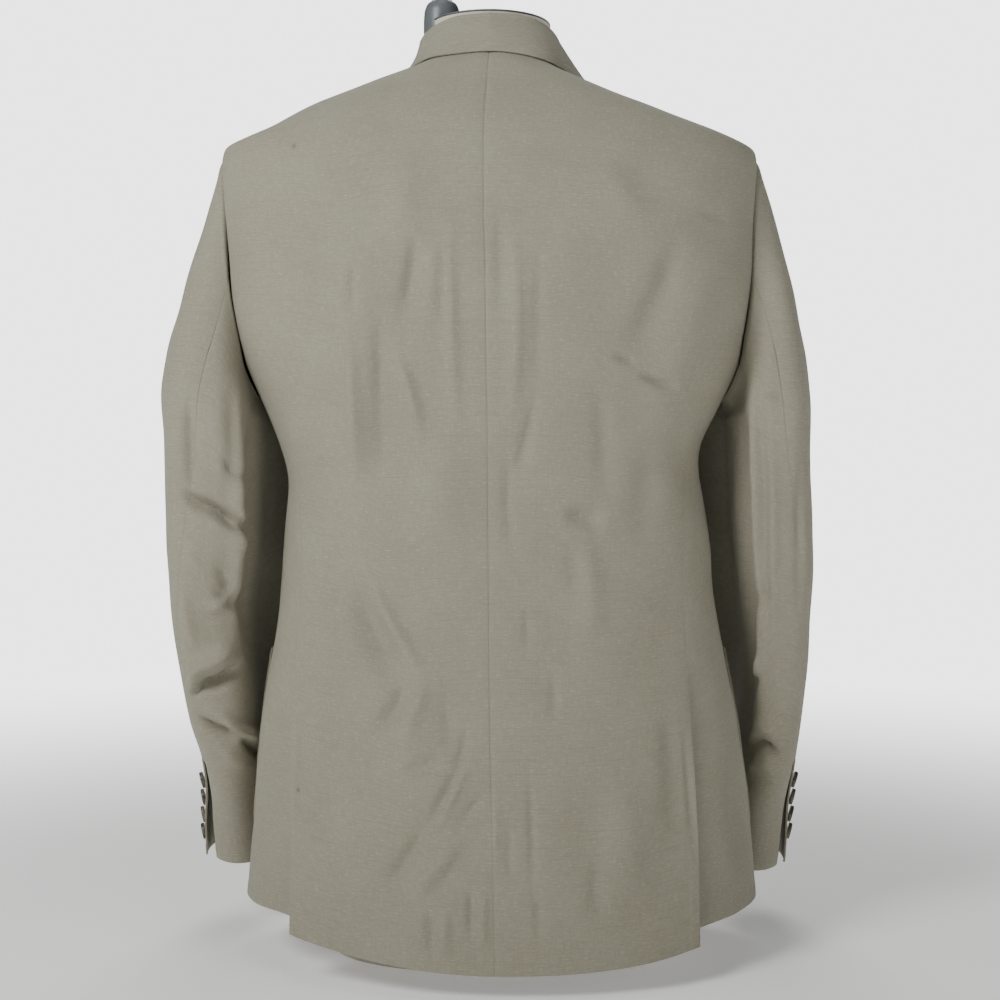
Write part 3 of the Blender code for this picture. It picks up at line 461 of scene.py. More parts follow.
# Creases of the body, from one end to the other across x and z: a positive depth is a ridge
Crease = namedtuple("Crease", "x1 z1 x2 z2 bow width depth")
BACK_CREASES = (
    Crease(0.070, 0.683, 0.075, 0.566, 0.0032, 0.0161, 0.0040),
    Crease(0.038, 0.462, 0.034, 0.321, -0.0032, 0.0217, 0.0050),
    Crease(-0.101, 0.181, -0.110, 0.052, 0.0032, 0.0193, 0.0046),
    Crease(0.127, 0.378, 0.134, 0.281, 0.0024, 0.0112, -0.0044),
    Crease(0.137, 0.241, 0.147, 0.113, 0.0024, 0.0112, 0.0036),
    Crease(-0.131, 0.442, -0.121, 0.345, 0.0032, 0.0145, -0.0034),
    Crease(-0.076, 0.370, -0.083, 0.269, 0.0024, 0.0112, 0.0036),
    Crease(-0.144, 0.233, -0.150, 0.105, 0.0024, 0.0096, -0.0030),
    Crease(-0.089, 0.667, -0.121, 0.610, 0.0040, 0.0145, 0.0027),
    Crease(-0.170, 0.630, -0.203, 0.626, 0.0008, 0.0048, -0.0018),
    Crease(0.192, 0.604, 0.152, 0.609, 0.0008, 0.0056, -0.0018),
    Crease(0.110, 0.590, 0.112, 0.540, 0.0008, 0.0040, -0.0032),
    Crease(0.114, 0.540, 0.111, 0.398, 0.0024, 0.0072, 0.0070),
    Crease(0.087, 0.545, 0.088, 0.397, -0.0016, 0.0080, -0.0074),
    Crease(0.058, 0.607, 0.070, 0.537, 0.0016, 0.0056, -0.0050),
    Crease(0.075, 0.516, 0.054, 0.435, 0.0024, 0.0056, 0.0048),
    Crease(0.042, 0.606, 0.050, 0.530, 0.0008, 0.0072, 0.0034),
    Crease(0.031, 0.628, 0.026, 0.440, -0.0016, 0.0048, 0.0034),
    Crease(-0.009, 0.635, -0.010, 0.535, 0.0000, 0.0040, -0.0024),
    Crease(-0.020, 0.617, -0.017, 0.439, 0.0040, 0.0048, 0.0030),
    Crease(-0.040, 0.604, -0.038, 0.471, 0.0008, 0.0048, -0.0020),
    Crease(-0.039, 0.480, -0.019, 0.406, 0.0016, 0.0048, -0.0030),
    Crease(-0.015, 0.435, -0.018, 0.349, -0.0008, 0.0040, -0.0024),
    Crease(-0.088, 0.493, -0.094, 0.387, 0.0024, 0.0080, -0.0022),
    Crease(-0.155, 0.610, -0.112, 0.509, 0.0056, 0.0120, -0.0048),
    Crease(-0.099, 0.512, -0.121, 0.503, 0.0000, 0.0024, -0.0032),
    Crease(-0.121, 0.497, -0.157, 0.486, -0.0016, 0.0032, -0.0050),
    Crease(-0.060, 0.382, -0.096, 0.375, 0.0016, 0.0080, -0.0055),
    Crease(-0.067, 0.355, -0.072, 0.313, 0.0008, 0.0072, -0.0020),
    Crease(0.119, 0.344, 0.066, 0.233, -0.0032, 0.0120, -0.0105),
    Crease(0.099, 0.336, 0.050, 0.247, -0.0032, 0.0064, 0.0055),
    Crease(0.065, 0.252, 0.094, 0.202, 0.0024, 0.0072, -0.0070),
    Crease(0.050, 0.252, 0.075, 0.196, 0.0024, 0.0072, 0.0036),
    Crease(0.017, 0.215, 0.025, 0.177, 0.0008, 0.0040, -0.0026),
    Crease(0.022, 0.186, 0.052, 0.130, 0.0016, 0.0048, -0.0032),
    Crease(0.015, 0.186, 0.044, 0.130, 0.0016, 0.0024, 0.0024),
    Crease(0.036, 0.241, 0.030, 0.193, 0.0008, 0.0064, -0.0020),
    Crease(0.073, 0.175, 0.034, 0.185, 0.0016, 0.0064, -0.0040),
    Crease(0.001, 0.166, 0.026, 0.135, 0.0008, 0.0032, -0.0020),
    Crease(0.050, 0.138, 0.082, 0.084, 0.0016, 0.0056, -0.0040),
    Crease(0.023, 0.125, 0.066, 0.077, 0.0016, 0.0072, 0.0054),
    Crease(-0.006, 0.164, -0.005, 0.098, 0.0000, 0.0032, 0.0018),
    Crease(-0.016, 0.138, -0.017, 0.093, 0.0000, 0.0032, -0.0018),
    Crease(-0.032, 0.188, -0.035, 0.076, 0.0008, 0.0032, -0.0021),
    Crease(0.014, 0.092, 0.013, 0.040, 0.0000, 0.0040, -0.0028),
    Crease(0.004, 0.088, 0.005, 0.039, 0.0000, 0.0032, 0.0022),
    Crease(-0.039, 0.085, -0.040, 0.039, 0.0000, 0.0040, -0.0018),
    Crease(0.048, 0.072, 0.042, 0.031, 0.0000, 0.0048, -0.0030),
    Crease(0.033, 0.072, 0.038, 0.031, 0.0008, 0.0048, 0.0026),
    Crease(-0.084, 0.113, -0.087, 0.058, 0.0000, 0.0072, -0.0024),
    Crease(-0.030, 0.313, -0.031, 0.265, 0.0000, 0.0032, -0.0014),
    Crease(-0.052, 0.259, -0.052, 0.214, 0.0000, 0.0040, -0.0016),
    Crease(-0.160, 0.215, -0.167, 0.095, 0.0008, 0.0032, -0.0022),
    Crease(0.155, 0.223, 0.158, 0.103, 0.0000, 0.0032, -0.0024),
)
FRONT_CREASES = (
    Crease(0.020, 0.348, 0.128, 0.300, 0.006, 0.009, -0.0027),
    Crease(0.022, 0.360, 0.112, 0.405, -0.006, 0.010, -0.0024),
    Crease(0.030, 0.330, 0.100, 0.270, 0.004, 0.009, 0.0020),
    Crease(0.150, 0.560, 0.128, 0.450, 0.005, 0.011, -0.0034),
    Crease(0.170, 0.530, 0.150, 0.440, 0.004, 0.010, 0.0031),
    Crease(0.060, 0.240, 0.075, 0.080, 0.004, 0.012, 0.0024),
    Crease(0.150, 0.330, 0.120, 0.290, 0.003, 0.009, -0.0022),
    Crease(-0.160, 0.570, -0.132, 0.455, -0.006, 0.011, -0.0036),
    Crease(-0.140, 0.540, -0.110, 0.470, -0.004, 0.009, 0.0024),
    Crease(-0.024, 0.344, -0.120, 0.318, 0.005, 0.009, -0.0026),
    Crease(-0.030, 0.372, -0.105, 0.425, 0.005, 0.010, -0.0020),
    Crease(-0.055, 0.230, -0.070, 0.075, 0.003, 0.012, 0.0026),
)
SIDE_CREASES = (
    Crease(0.172, 0.420, 0.190, 0.300, 0.003, 0.008, 0.0024),
    Crease(0.180, 0.150, 0.190, 0.070, 0.002, 0.009, -0.0027),
    Crease(-0.175, 0.420, -0.190, 0.310, 0.003, 0.008, 0.0020),
    Crease(-0.200, 0.170, -0.212, 0.080, 0.002, 0.009, -0.0026),
)

# Creases of a sleeve, by the angle round it and the height
SleeveCrease = namedtuple("SleeveCrease", "side angle1 z1 angle2 z2 bow width depth")
SLEEVE_CREASES = (
    SleeveCrease(+1, 82, 0.490, 84, 0.392, 0.001, 0.005, -0.0050),
    SleeveCrease(+1, 100, 0.490, 112, 0.400, 0.002, 0.011, 0.0040),
    SleeveCrease(+1, 64, 0.406, 152, 0.364, 0.004, 0.0050, -0.0120),
    SleeveCrease(+1, 78, 0.390, 146, 0.350, 0.003, 0.0060, 0.0065),
    SleeveCrease(+1, 118, 0.384, 160, 0.366, 0.002, 0.007, 0.0045),
    SleeveCrease(+1, 96, 0.338, 150, 0.292, 0.003, 0.007, -0.0055),
    SleeveCrease(+1, 70, 0.322, 84, 0.262, 0.003, 0.007, 0.0040),
    SleeveCrease(+1, 60, 0.234, 128, 0.266, -0.004, 0.0075, 0.0085),
    SleeveCrease(+1, 50, 0.216, 148, 0.250, -0.004, 0.0046, -0.0150),
    SleeveCrease(+1, 82, 0.212, 154, 0.178, 0.004, 0.0055, 0.0100),
    SleeveCrease(+1, 92, 0.320, 134, 0.300, 0.002, 0.0040, -0.0050),
    SleeveCrease(+1, 86, 0.300, 126, 0.312, 0.002, 0.0045, 0.0035),
    SleeveCrease(+1, 104, 0.430, 138, 0.408, 0.002, 0.0050, -0.0045),
    SleeveCrease(+1, 74, 0.352, 110, 0.326, 0.002, 0.0045, 0.0040),
    SleeveCrease(+1, 64, 0.204, 114, 0.184, 0.003, 0.0050, -0.0095),
    SleeveCrease(+1, 112, 0.188, 160, 0.158, 0.003, 0.006, -0.0060),
    SleeveCrease(+1, 80, 0.178, 130, 0.152, 0.003, 0.008, 0.0035),
    SleeveCrease(+1, 127, 0.500, 130, 0.250, 0.002, 0.009, 0.0075),
    SleeveCrease(+1, 154, 0.500, 158, 0.230, 0.002, 0.015, -0.0140),
    SleeveCrease(-1, 122, 0.520, 126, 0.180, 0.002, 0.009, 0.0070),
    SleeveCrease(-1, 150, 0.520, 154, 0.160, 0.002, 0.015, -0.0140),
    SleeveCrease(+1, 280, 0.300, 345, 0.268, 0.004, 0.009, -0.0053),
    SleeveCrease(+1, 250, 0.268, 330, 0.242, 0.005, 0.009, -0.0057),
    SleeveCrease(+1, 262, 0.330, 320, 0.310, 0.003, 0.008, 0.0034),
    SleeveCrease(+1, 20, 0.560, 28, 0.450, 0.003, 0.011, 0.0027),
    SleeveCrease(-1, 112, 0.490, 118, 0.300, 0.002, 0.007, -0.0040),
    SleeveCrease(-1, 98, 0.470, 106, 0.250, 0.002, 0.006, 0.0040),
    SleeveCrease(-1, 68, 0.440, 74, 0.270, -0.002, 0.008, -0.0030),
    SleeveCrease(-1, 122, 0.262, 140, 0.236, 0.002, 0.006, 0.0050),
    SleeveCrease(-1, 122, 0.241, 150, 0.228, 0.002, 0.0034, -0.0050),
    SleeveCrease(-1, 80, 0.166, 142, 0.178, -0.004, 0.0042, -0.0110),
    SleeveCrease(-1, 84, 0.184, 140, 0.196, -0.003, 0.007, 0.0050),
    SleeveCrease(-1, 84, 0.152, 140, 0.158, -0.004, 0.007, 0.0050),
    SleeveCrease(-1, 96, 0.330, 150, 0.300, 0.004, 0.008, -0.0035),
    SleeveCrease(-1, 275, 0.296, 340, 0.270, 0.004, 0.009, -0.0049),
    SleeveCrease(-1, 255, 0.260, 335, 0.238, 0.005, 0.009, -0.0057),
    SleeveCrease(-1, 268, 0.338, 322, 0.316, 0.003, 0.008, 0.0034),
    SleeveCrease(-1, 15, 0.560, 22, 0.440, 0.003, 0.011, 0.0023),
)
SLEEVE_MEAN_RADIUS = 0.052

# How a crease fades in and out along its length, and how its width grows from end to end
CREASE_FADES_IN = (-0.05, 0.4)
CREASE_FADES_OUT = (0.6, 1.05)
CREASE_START_WIDTH = 0.75
CREASE_WIDENS_BY = 0.5

# Slight unevenness of the whole cloth: four long waves, none in step with another
Wave = namedtuple("Wave", "across_x across_y across_z start height")
UNEVENNESS = (
    Wave(61.0, 23.0, 34.0, 0.3, 0.00035),
    Wave(-38.0, 41.0, 57.0, 1.9, 0.00030),
    Wave(97.0, -53.0, 21.0, 4.1, 0.00018),
    Wave(27.0, 88.0, -103.0, 2.6, 0.00016),
)
WAVE_BEND = 0.8
WAVE_BEND_PACE = 0.37

# How seams and turned edges shape the cloth beside them
SEAM_DIP = {"seam": 0.0004, "flat_seam": 0.0002, "armhole_seam": 0.0016}
SEAM_DIP_WIDTH = 0.0030
SEAM_SWELL = 0.25
SEAM_SWELL_AT = 0.009
SEAM_SWELL_WIDTH = 0.004
SEAM_RIM = 0.00015
FREE_RIM = 0.0004
EDGE_RAISE = 0.0004
EDGE_TURN = 0.009
EDGE_TURN_EASE = 0.002
RIM_ANGLE = np.radians(62)

# Small stains and specks: where they are, how far they reach and how dark they are
Stain = namedtuple("Stain", "x y z radius strength")
STAINS = (
    Stain(0.1605, 0.0909, 0.6849, 0.0030, 0.45),
    Stain(0.1572, 0.0907, 0.1550, 0.0026, 0.50),
    Stain(-0.2380, 0.0680, 0.4808, 0.0070, 0.14),
    Stain(-0.2185, 0.0457, 0.4362, 0.0060, 0.16),
)
STAIN_CORE = 0.4

# How strongly slubs and dark picks colour the cloth
SLUB_STRENGTH = 0.36
PICK_STRENGTH = 0.35


def between(value, low, high):
    """0 at low, 1 at high and smooth in between."""
    t = np.clip((np.asarray(value, float) - low) / (high - low), 0.0, 1.0)
    return t * t * (3 - 2 * t)


def reading(table, at, column):
    """One column of a table against its first one, on a smooth curve that never overshoots its rows."""
    xs = np.array([row[0] for row in table])
    ys = np.array([getattr(row, column) for row in table])
    steps = np.diff(ys) / np.diff(xs)
    before, after = steps[:-1], steps[1:]
    same_way = before * after > 0
    total = np.where(same_way, before + after, 1.0)
    inner = np.where(same_way, 2 * before * after / total, 0.0)
    slopes = np.concatenate((steps[:1], inner, steps[-1:]))
    at = np.clip(np.asarray(at, float), xs[0], xs[-1])
    i = np.clip(np.searchsorted(xs, at, side="right") - 1, 0, len(xs) - 2)
    width = xs[i + 1] - xs[i]
    t = (at - xs[i]) / width
    rise = ys[i + 1] - ys[i]
    start = slopes[i] * width
    end = slopes[i + 1] * width
    return ys[i] + t * (start + t * (3 * rise - 2 * start - end + t * (start + end - 2 * rise)))


def hand(side):
    """The wearer's hand on a side, as it stands in names."""
    return "left" if side > 0 else "right"


def unit(vectors):
    """Vectors made one long."""
    return vectors / np.maximum(np.linalg.norm(vectors, axis=-1, keepdims=True), 1e-12)


def folded(level, angle, side):
    """How far the largest folds push the cloth out."""
    push = np.zeros(np.broadcast(level, angle).shape)
    for fold in FOLDS:
        if fold.side == side:
            off = np.clip((level - fold.height) / fold.half_length, -1, 1)
            across = (angle - fold.angle - fold.lean * (level - fold.height)) / fold.width
            push = push + fold.depth * (1 - off * off) ** 2 * np.exp(-across * across)
    return push


def torso(level, angle, side):
    """Points of the coat's outer surface. The angle runs from the centre back, 0, to the centre front, 180."""
    level, angle = np.broadcast_arrays(np.asarray(level, float), np.asarray(angle, float))
    power = 2 / reading(TORSO, level, "squareness")
    s, c = np.sin(np.radians(angle)), np.cos(np.radians(angle))
    depth = np.where(c >= 0, reading(TORSO, level, "back_depth"), reading(TORSO, level, "front_depth"))
    wide = reading(TORSO, level, "half_width")
    near = reading(TORSO, level - SHOULDER_EASE, "half_width") + reading(TORSO, level + SHOULDER_EASE, "half_width")
    wide = wide + (near - 2 * wide) / 3 * c * c * (1 - between(level, *SHOULDER_EASE_FADES))
    out = folded(level, angle, side)
    x = (wide + out) * np.sign(s) * np.abs(s) ** power - reading(DRAW_IN, level, hand(side)) * s ** 3
    y = (depth + out) * np.sign(c) * np.abs(c) ** power
    rise = HEM_RISE * np.abs(s) ** HEM_CURVE[side] * (1 - between(level, HEM, HEM_RISE_FADES_AT))
    rise = rise + NECK_RISE * c * c * between(level, NECK_RISE_STARTS_AT, NECK)
    rise = rise - reading(SHOULDER_DROP, level, hand(side)) * s * s
    return np.stack((side * x + reading(TORSO, level, "sway"), y, level + rise), axis=-1)


def torso_normal(level, angle, side):
    """The way out of the coat at points of its surface."""
    turn = torso(level, angle + HALF_DEGREE, side) - torso(level, angle - HALF_DEGREE, side)
    low, high = np.maximum(level - NORMAL_CLIMB, HEM), np.minimum(level + NORMAL_CLIMB, NECK)
    climb = torso(high, angle, side) - torso(low, angle, side)
    return unit(np.cross(turn, climb)) * -side


def on_torso(level, angle, side, lift):
    """Points that lie on the coat, moved out along its normal."""
    level, angle = np.broadcast_arrays(np.asarray(level, float), np.asarray(angle, float))
    return torso(level, angle, side) + torso_normal(level, angle, side) * np.asarray(lift)[..., None]


def angle_at_x(level, x, front):
    """The angle where the section at a level is x away from the middle."""
    share = np.minimum(1.0, np.abs(x) / reading(TORSO, level, "half_width"))
    angle = np.degrees(np.arcsin(share ** (reading(TORSO, level, "squareness") / 2)))
    return np.where(front, np.where(np.asarray(x) >= 0, 180 - angle, 180 + angle), angle)


def angle_at_y(level, y):
    """The angle where the section at a level has this depth."""
    y = np.asarray(y, float)
    depth = np.where(y >= 0, reading(TORSO, level, "back_depth"), reading(TORSO, level, "front_depth"))
    angle = np.degrees(np.arccos((np.abs(y) / depth) ** (reading(TORSO, level, "squareness") / 2)))
    return np.where(y >= 0, angle, 180 - angle)


def armhole(turn):
    """Level and angle of the armhole: 0 at the shoulder tip, 90 at the back, 180 underarm, 270 in front."""
    c, s = np.cos(np.radians(turn)), np.sin(np.radians(turn))
    level = ARMHOLE_MID + ARMHOLE_HALF * c
    return level, angle_at_y(level, ARMHOLE_Y + np.where(s >= 0, ARMHOLE_BACK, ARMHOLE_FRONT) * s)


def armhole_edge(level, reach):
    """The armhole's angle on the torso at a level; reach is its half width to the back or, negative, the front."""
    off = np.minimum(1.0, np.abs(level - ARMHOLE_MID) / ARMHOLE_HALF)
    return angle_at_y(level, ARMHOLE_Y + reach * np.sqrt(1 - off * off))


def back_side_seam(level, side):
    """The angle of the seam between back and side body."""
    return reading(BACK_SIDE_SEAM, level, hand(side))


def centre_seam(level, side):
    """The centre back seam, which wanders a little to the wearer's left."""
    return side * angle_at_x(level, reading(CENTRE_SEAM, level, "offset"), False)


def back_edge(level, side):
    """Where a back half ends: side seam, then armhole, then shoulder seam."""
    upper = np.where(level < SHOULDER, armhole_edge(level, ARMHOLE_BACK), 90.0)
    return np.where(level < BACK_SEAM_MEETS_ARMHOLE, back_side_seam(level, side), upper)


def front_side_edge(level):
    """Where a front ends at the side: side seam, then armhole, then shoulder seam."""
    upper = np.where(level < SHOULDER, armhole_edge(level, -ARMHOLE_FRONT), 90.0)
    return np.where(level < FRONT_SEAM_MEETS_ARMHOLE, reading(FRONT_SIDE_SEAM, level, "angle"), upper)


def roll_x(level):
    """The roll line, straight from the break to the gorge and then up beside the neck."""
    below = ROLL_AT_BREAK + (ROLL_AT_GORGE - ROLL_AT_BREAK) * (level - BREAK) / (GORGE - BREAK)
    above = ROLL_AT_GORGE + (ROLL_AT_NECK - ROLL_AT_GORGE) * (level - GORGE) / (NECK - GORGE)
    return np.where(level > GORGE, above, below)


def front_edge(level):
    """The front's free edge: a curved corner at the hem, straight at the buttons, then the roll line."""
    drop = np.clip((CUTAWAY_TOP - level) / (CUTAWAY_TOP - HEM), 0, 1)
    low = -OVERLAP + CUTAWAY_REACH * (1 - np.sqrt(1 - drop * drop * CORNER_SOFTNESS))
    rolled = between(level, BREAK - BREAK_EASE_BELOW, BREAK + BREAK_EASE_ABOVE)
    high = -OVERLAP + (roll_x(level) + OVERLAP) * rolled
    return angle_at_x(level, np.where(level < CUTAWAY_TOP, low, high), True)


def left_over_right(angle, side):
    """The left front stands clear of the right one where they lap."""
    return (BODY_CLOTH + LAYER_GAP) * between(angle, LAP_STARTS, LAP_FULL) * (side > 0)


def trimmed(level, angle, side, gap):
    """An angle moved along the surface by a distance."""
    degree = torso(level, angle + HALF_DEGREE, side) - torso(level, angle - HALF_DEGREE, side)
    return angle + gap / np.linalg.norm(degree, axis=-1)


def crease_push(table, across, up, rounding=1.0):
    """How far the creases of a table push the cloth out; across and up are places in metres."""
    push = np.zeros(across.shape)
    for crease in table:
        x1, z1, x2, z2, bow, width, depth = crease[-7:]
        run_x, run_z = (x2 - x1) * rounding, z2 - z1
        length = np.hypot(run_x, run_z)
        from_x, from_z = across - x1 * rounding, up - z1
        t = (from_x * run_x + from_z * run_z) / length ** 2
        off = (from_x * run_z - from_z * run_x) / length - bow * np.sin(np.pi * np.clip(t, 0, 1))
        taper = between(t, *CREASE_FADES_IN) * (1 - between(t, *CREASE_FADES_OUT))
        broad = width * (CREASE_START_WIDTH + CREASE_WIDENS_BY * np.clip(t, 0, 1))
        push = push + depth * taper * np.exp(-((off / broad) ** 2))
    return push


def unevenness(points):
    """The cloth's slight unevenness at each point."""
    push = 0.0
    for wave in UNEVENNESS:
        phase = points @ np.array(wave[:3]) + wave.start
        push = push + wave.height * np.sin(phase + WAVE_BEND * np.sin(phase * WAVE_BEND_PACE + wave.start))
    return push


def grid_normals(points, outwards):
    """Normals of a grid of points, turned to the side that outwards points to."""
    normals = unit(np.cross(np.gradient(points, axis=1), np.gradient(points, axis=0)))
    middle = normals[normals.shape[0] // 2, normals.shape[1] // 2]
    return normals if middle @ np.asarray(outwards) > 0 else -normals


def run_lengths(points, axis):
    """How far each point is along its row or column, in metres."""
    steps = np.linalg.norm(np.diff(points, axis=axis), axis=-1)
    start = np.zeros_like(np.take(steps, [0], axis=axis))
    return np.concatenate((start, np.cumsum(steps, axis=axis)), axis=axis)


def edge_push(away, kind):
    """A seam draws the cloth in; a turned edge is a little thicker and rounds off at its end."""
    if kind in SEAM_DIP:
        swell = SEAM_SWELL * np.exp(-(((away - SEAM_SWELL_AT) / SEAM_SWELL_WIDTH) ** 2))
        return SEAM_DIP[kind] * (-np.exp(-((away / SEAM_DIP_WIDTH) ** 2)) + swell)
    if kind == "turned":
        return EDGE_RAISE * (1 - between(away, EDGE_TURN - EDGE_TURN_EASE, EDGE_TURN + EDGE_TURN_EASE))
    return np.zeros(away.shape)


def shaped(points, outwards, start, end, low, high, extra=0.0):
    """A panel's points with its edges, creases and unevenness.

    start and end are the kinds of edge across a row, low and high those along a column. A kind that changes
    on the way is a tuple: where the first holds, and the two kinds.
    """
    normals = grid_normals(points, outwards)
    across, along = run_lengths(points, 1), run_lengths(points, 0)
    push = extra + unevenness(points)
    for away, kind in (
        (across, start),
        (across[:, -1:] - across, end),
        (along, low),
        (along[-1:] - along, high),
    ):
        if isinstance(kind, tuple):
            push = push + np.where(kind[0][:, None], edge_push(away, kind[1]), edge_push(away, kind[2]))
        else:
            push = push + edge_push(away, kind)
    return points + normals * push[..., None]


def deselect():
    """Operators act on all that is selected, so nothing is left selected before a piece is started."""
    bpy.ops.object.select_all(action="DESELECT")


def laid_grid(name, points):
    """A grid of faces laid through rows of points, with UVs in metres along its rows and columns."""
    rows, columns = points.shape[0], points.shape[1]
    deselect()
    bpy.ops.mesh.primitive_grid_add(x_subdivisions=columns - 1, y_subdivisions=rows - 1, size=2)
    piece = bpy.context.object
    piece.name = piece.data.name = name
    mesh = piece.data
    flat = np.empty(len(mesh.vertices) * 3)
    mesh.vertices.foreach_get("co", flat)
    flat = flat.reshape(-1, 3)
    column = np.rint((flat[:, 0] + 1) / 2 * (columns - 1)).astype(int)
    row = np.rint((flat[:, 1] + 1) / 2 * (rows - 1)).astype(int)
    mesh.vertices.foreach_set("co", points[row, column].ravel())
    uv = np.stack((run_lengths(points, 1), run_lengths(points, 0)), axis=-1)[row, column]
    corner = np.empty(len(mesh.loops), dtype=np.int32)
    mesh.loops.foreach_get("vertex_index", corner)
    mesh.uv_layers[0].data.foreach_set("uv", uv[corner].ravel())
    mesh.update()
    return piece


def cloth_piece(node, points, outwards, thick, cloth, rim_width=SEAM_RIM):
    """A cloth shell in place of a node: a grid through the points, thickened inwards, with its rim softened."""
    piece = laid_grid(f"{node}_cloth", points)
    mesh = piece.data
    rows, columns = points.shape[0], points.shape[1]
    middle = mesh.polygons[(rows - 1) // 2 * (columns - 1) + (columns - 1) // 2]
    if middle.normal.dot(Vector(outwards)) < 0:
        mesh.flip_normals()
    thickness = piece.modifiers.new("thickness", "SOLIDIFY")
    thickness.thickness = thick
    thickness.offset = -1
    rim = piece.modifiers.new("rim", "BEVEL")
    rim.width = rim_width
    rim.segments = 2
    rim.limit_method = "ANGLE"
    rim.angle_limit = RIM_ANGLE
    for modifier in ("thickness", "rim"):
        bpy.ops.object.modifier_apply(modifier=modifier)
    bpy.ops.object.shade_smooth()
    piece.data.materials.clear()
    piece.data.materials.append(cloth)
    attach(piece, "root")
    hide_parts(node)


def spread(width, step=CLOTH_STEP):
    """Shares from 0 to 1 across a width, closer together beside both edges, where seams draw in."""
    count = max(FEWEST_STEPS, int((width - 2 * EDGE_BAND) / step))
    middle = np.linspace(EDGE_BAND, width - EDGE_BAND, count)
    return np.concatenate((EDGE_STEPS, middle, width - EDGE_STEPS[::-1])) / width


def torso_levels(low, step=CLOTH_STEP):
    """Levels from the hem or another edge up to the neck, closer together on the flat of the shoulder."""
    body = np.arange(low + HEM_BAND, BODY_ROWS_END, step)
    below = np.arange(SHOULDER_ROWS_START, SHOULDER, SHOULDER_STEP)
    above = np.arange(SHOULDER + SHOULDER_STEP, NECK, SHOULDER_STEP)
    return np.concatenate((low + HEM_STEPS, body, below, [SHOULDER], above, [NECK]))


def panel_points(side, levels, start, end, shares, lift):
    """Rows of points on the torso from a start angle to an end angle, half a seam gap inside each."""
    rows = levels[:, None]
    way = np.sign(end(levels)[len(levels) // 2] - start(levels)[len(levels) // 2])
    first = trimmed(levels, start(levels), side, way * SEAM_GAP / 2)[:, None]
    last = trimmed(levels, end(levels), side, -way * SEAM_GAP / 2)[:, None]
    angles = first + (last - first) * shares[None, :]
    return on_torso(rows, angles, side, lift(rows, angles))


def vent_flare(level, angle):
    """The back's vent edge stands a little off the side body."""
    return VENT_FLARE * (1 - between(level, HEM, VENT_TOP)) * between(angle, *VENT_FLARE_ANGLES)


def make_backs(cloth):
    """The two halves of the back, from the centre seam to the side seam, armhole and shoulder seam."""
    levels = torso_levels(HEM, BACK_STEP)
    for side in (+1, -1):
        points = panel_points(
            side, levels, lambda level: centre_seam(level, side), lambda level: back_edge(level, side),
            spread(BACK_WIDTH, BACK_STEP), vent_flare,
        )
        push = crease_push(BACK_CREASES, points[..., 0], points[..., 2])
        outer_edge = (levels < VENT_TOP, "turned", "flat_seam")
        points = shaped(points, (0, 1, 0), "seam", outer_edge, "turned", "plain", push)
        cloth_piece(f"back_{hand(side)}", points, (0, 1, 0), BODY_CLOTH, cloth)


def make_sides(cloth):
    """Side bodies: their top follows the armhole, and below the vent they run on under the back."""
    first = np.degrees(np.arccos((BACK_SEAM_MEETS_ARMHOLE - ARMHOLE_MID) / ARMHOLE_HALF))
    last = 360 - np.degrees(np.arccos((FRONT_SEAM_MEETS_ARMHOLE - ARMHOLE_MID) / ARMHOLE_HALF))
    share = spread(SIDE_WIDTH)[None, :]
    climb = spread(SIDE_LENGTH)[:, None]
    for side in (+1, -1):
        top_level, top_angle = armhole(first + (last - first) * share)
        seam_top = back_side_seam(top_level, side)
        pull = top_angle - seam_top - (reading(FRONT_SIDE_SEAM, top_level, "angle") - seam_top) * share
        hem = HEM + SIDE_HEM_STEP * (1 - between(share, 0.0, SIDE_HEM_LEVELS_AT))
        level = hem + (top_level - hem) * climb
        seam = back_side_seam(level, side)
        under = 1 - between(level, VENT_TOP - VENT_EASE, VENT_TOP)
        back = trimmed(level, seam, side, SEAM_GAP / 2 - VENT_UNDERLAP * under)
        front = trimmed(level, reading(FRONT_SIDE_SEAM, level, "angle"), side, -SEAM_GAP / 2)
        angle = back + (front - back) * share + pull * between(climb, ARMHOLE_PULL_FROM, 1.0)
        sink = 1 - between(level, VENT_TOP, VENT_TOP + 2 * VENT_EASE)
        sink = sink * (1 - between(angle - seam, *UNDERLAP_SINKS_OVER))
        points = on_torso(level, angle, side, -(BODY_CLOTH + LAYER_GAP) * sink)
        push = crease_push(SIDE_CREASES, points[..., 0], points[..., 2])
        push = push * between(share, 0.0, SIDE_CREASES_FULL_AT)
        back_kind = (level[:, 0] < VENT_TOP, "plain", "flat_seam")
        points = shaped(points, (side, 0, 0), back_kind, "flat_seam", "turned", "plain", push)
        cloth_piece(f"side_{hand(side)}", points, (side, 0, 0), BODY_CLOTH, cloth)


def make_fronts(cloth):
    """Fronts from their free edge to the side seam, armhole and shoulder seam, left over right."""
    levels = torso_levels(HEM)
    for side in (+1, -1):
        points = panel_points(
            side, levels, front_edge, front_side_edge, spread(FRONT_WIDTH),
            lambda level, angle: left_over_right(angle, side),
        )
        push = crease_push(FRONT_CREASES, points[..., 0], points[..., 2])
        free = (levels < BREAK, "turned", "plain")
        outwards = (side * 0.5, -1, 0)
        points = shaped(points, outwards, free, "flat_seam", "turned", "plain", push)
        cloth_piece(f"front_{hand(side)}", points, outwards, BODY_CLOTH, cloth)


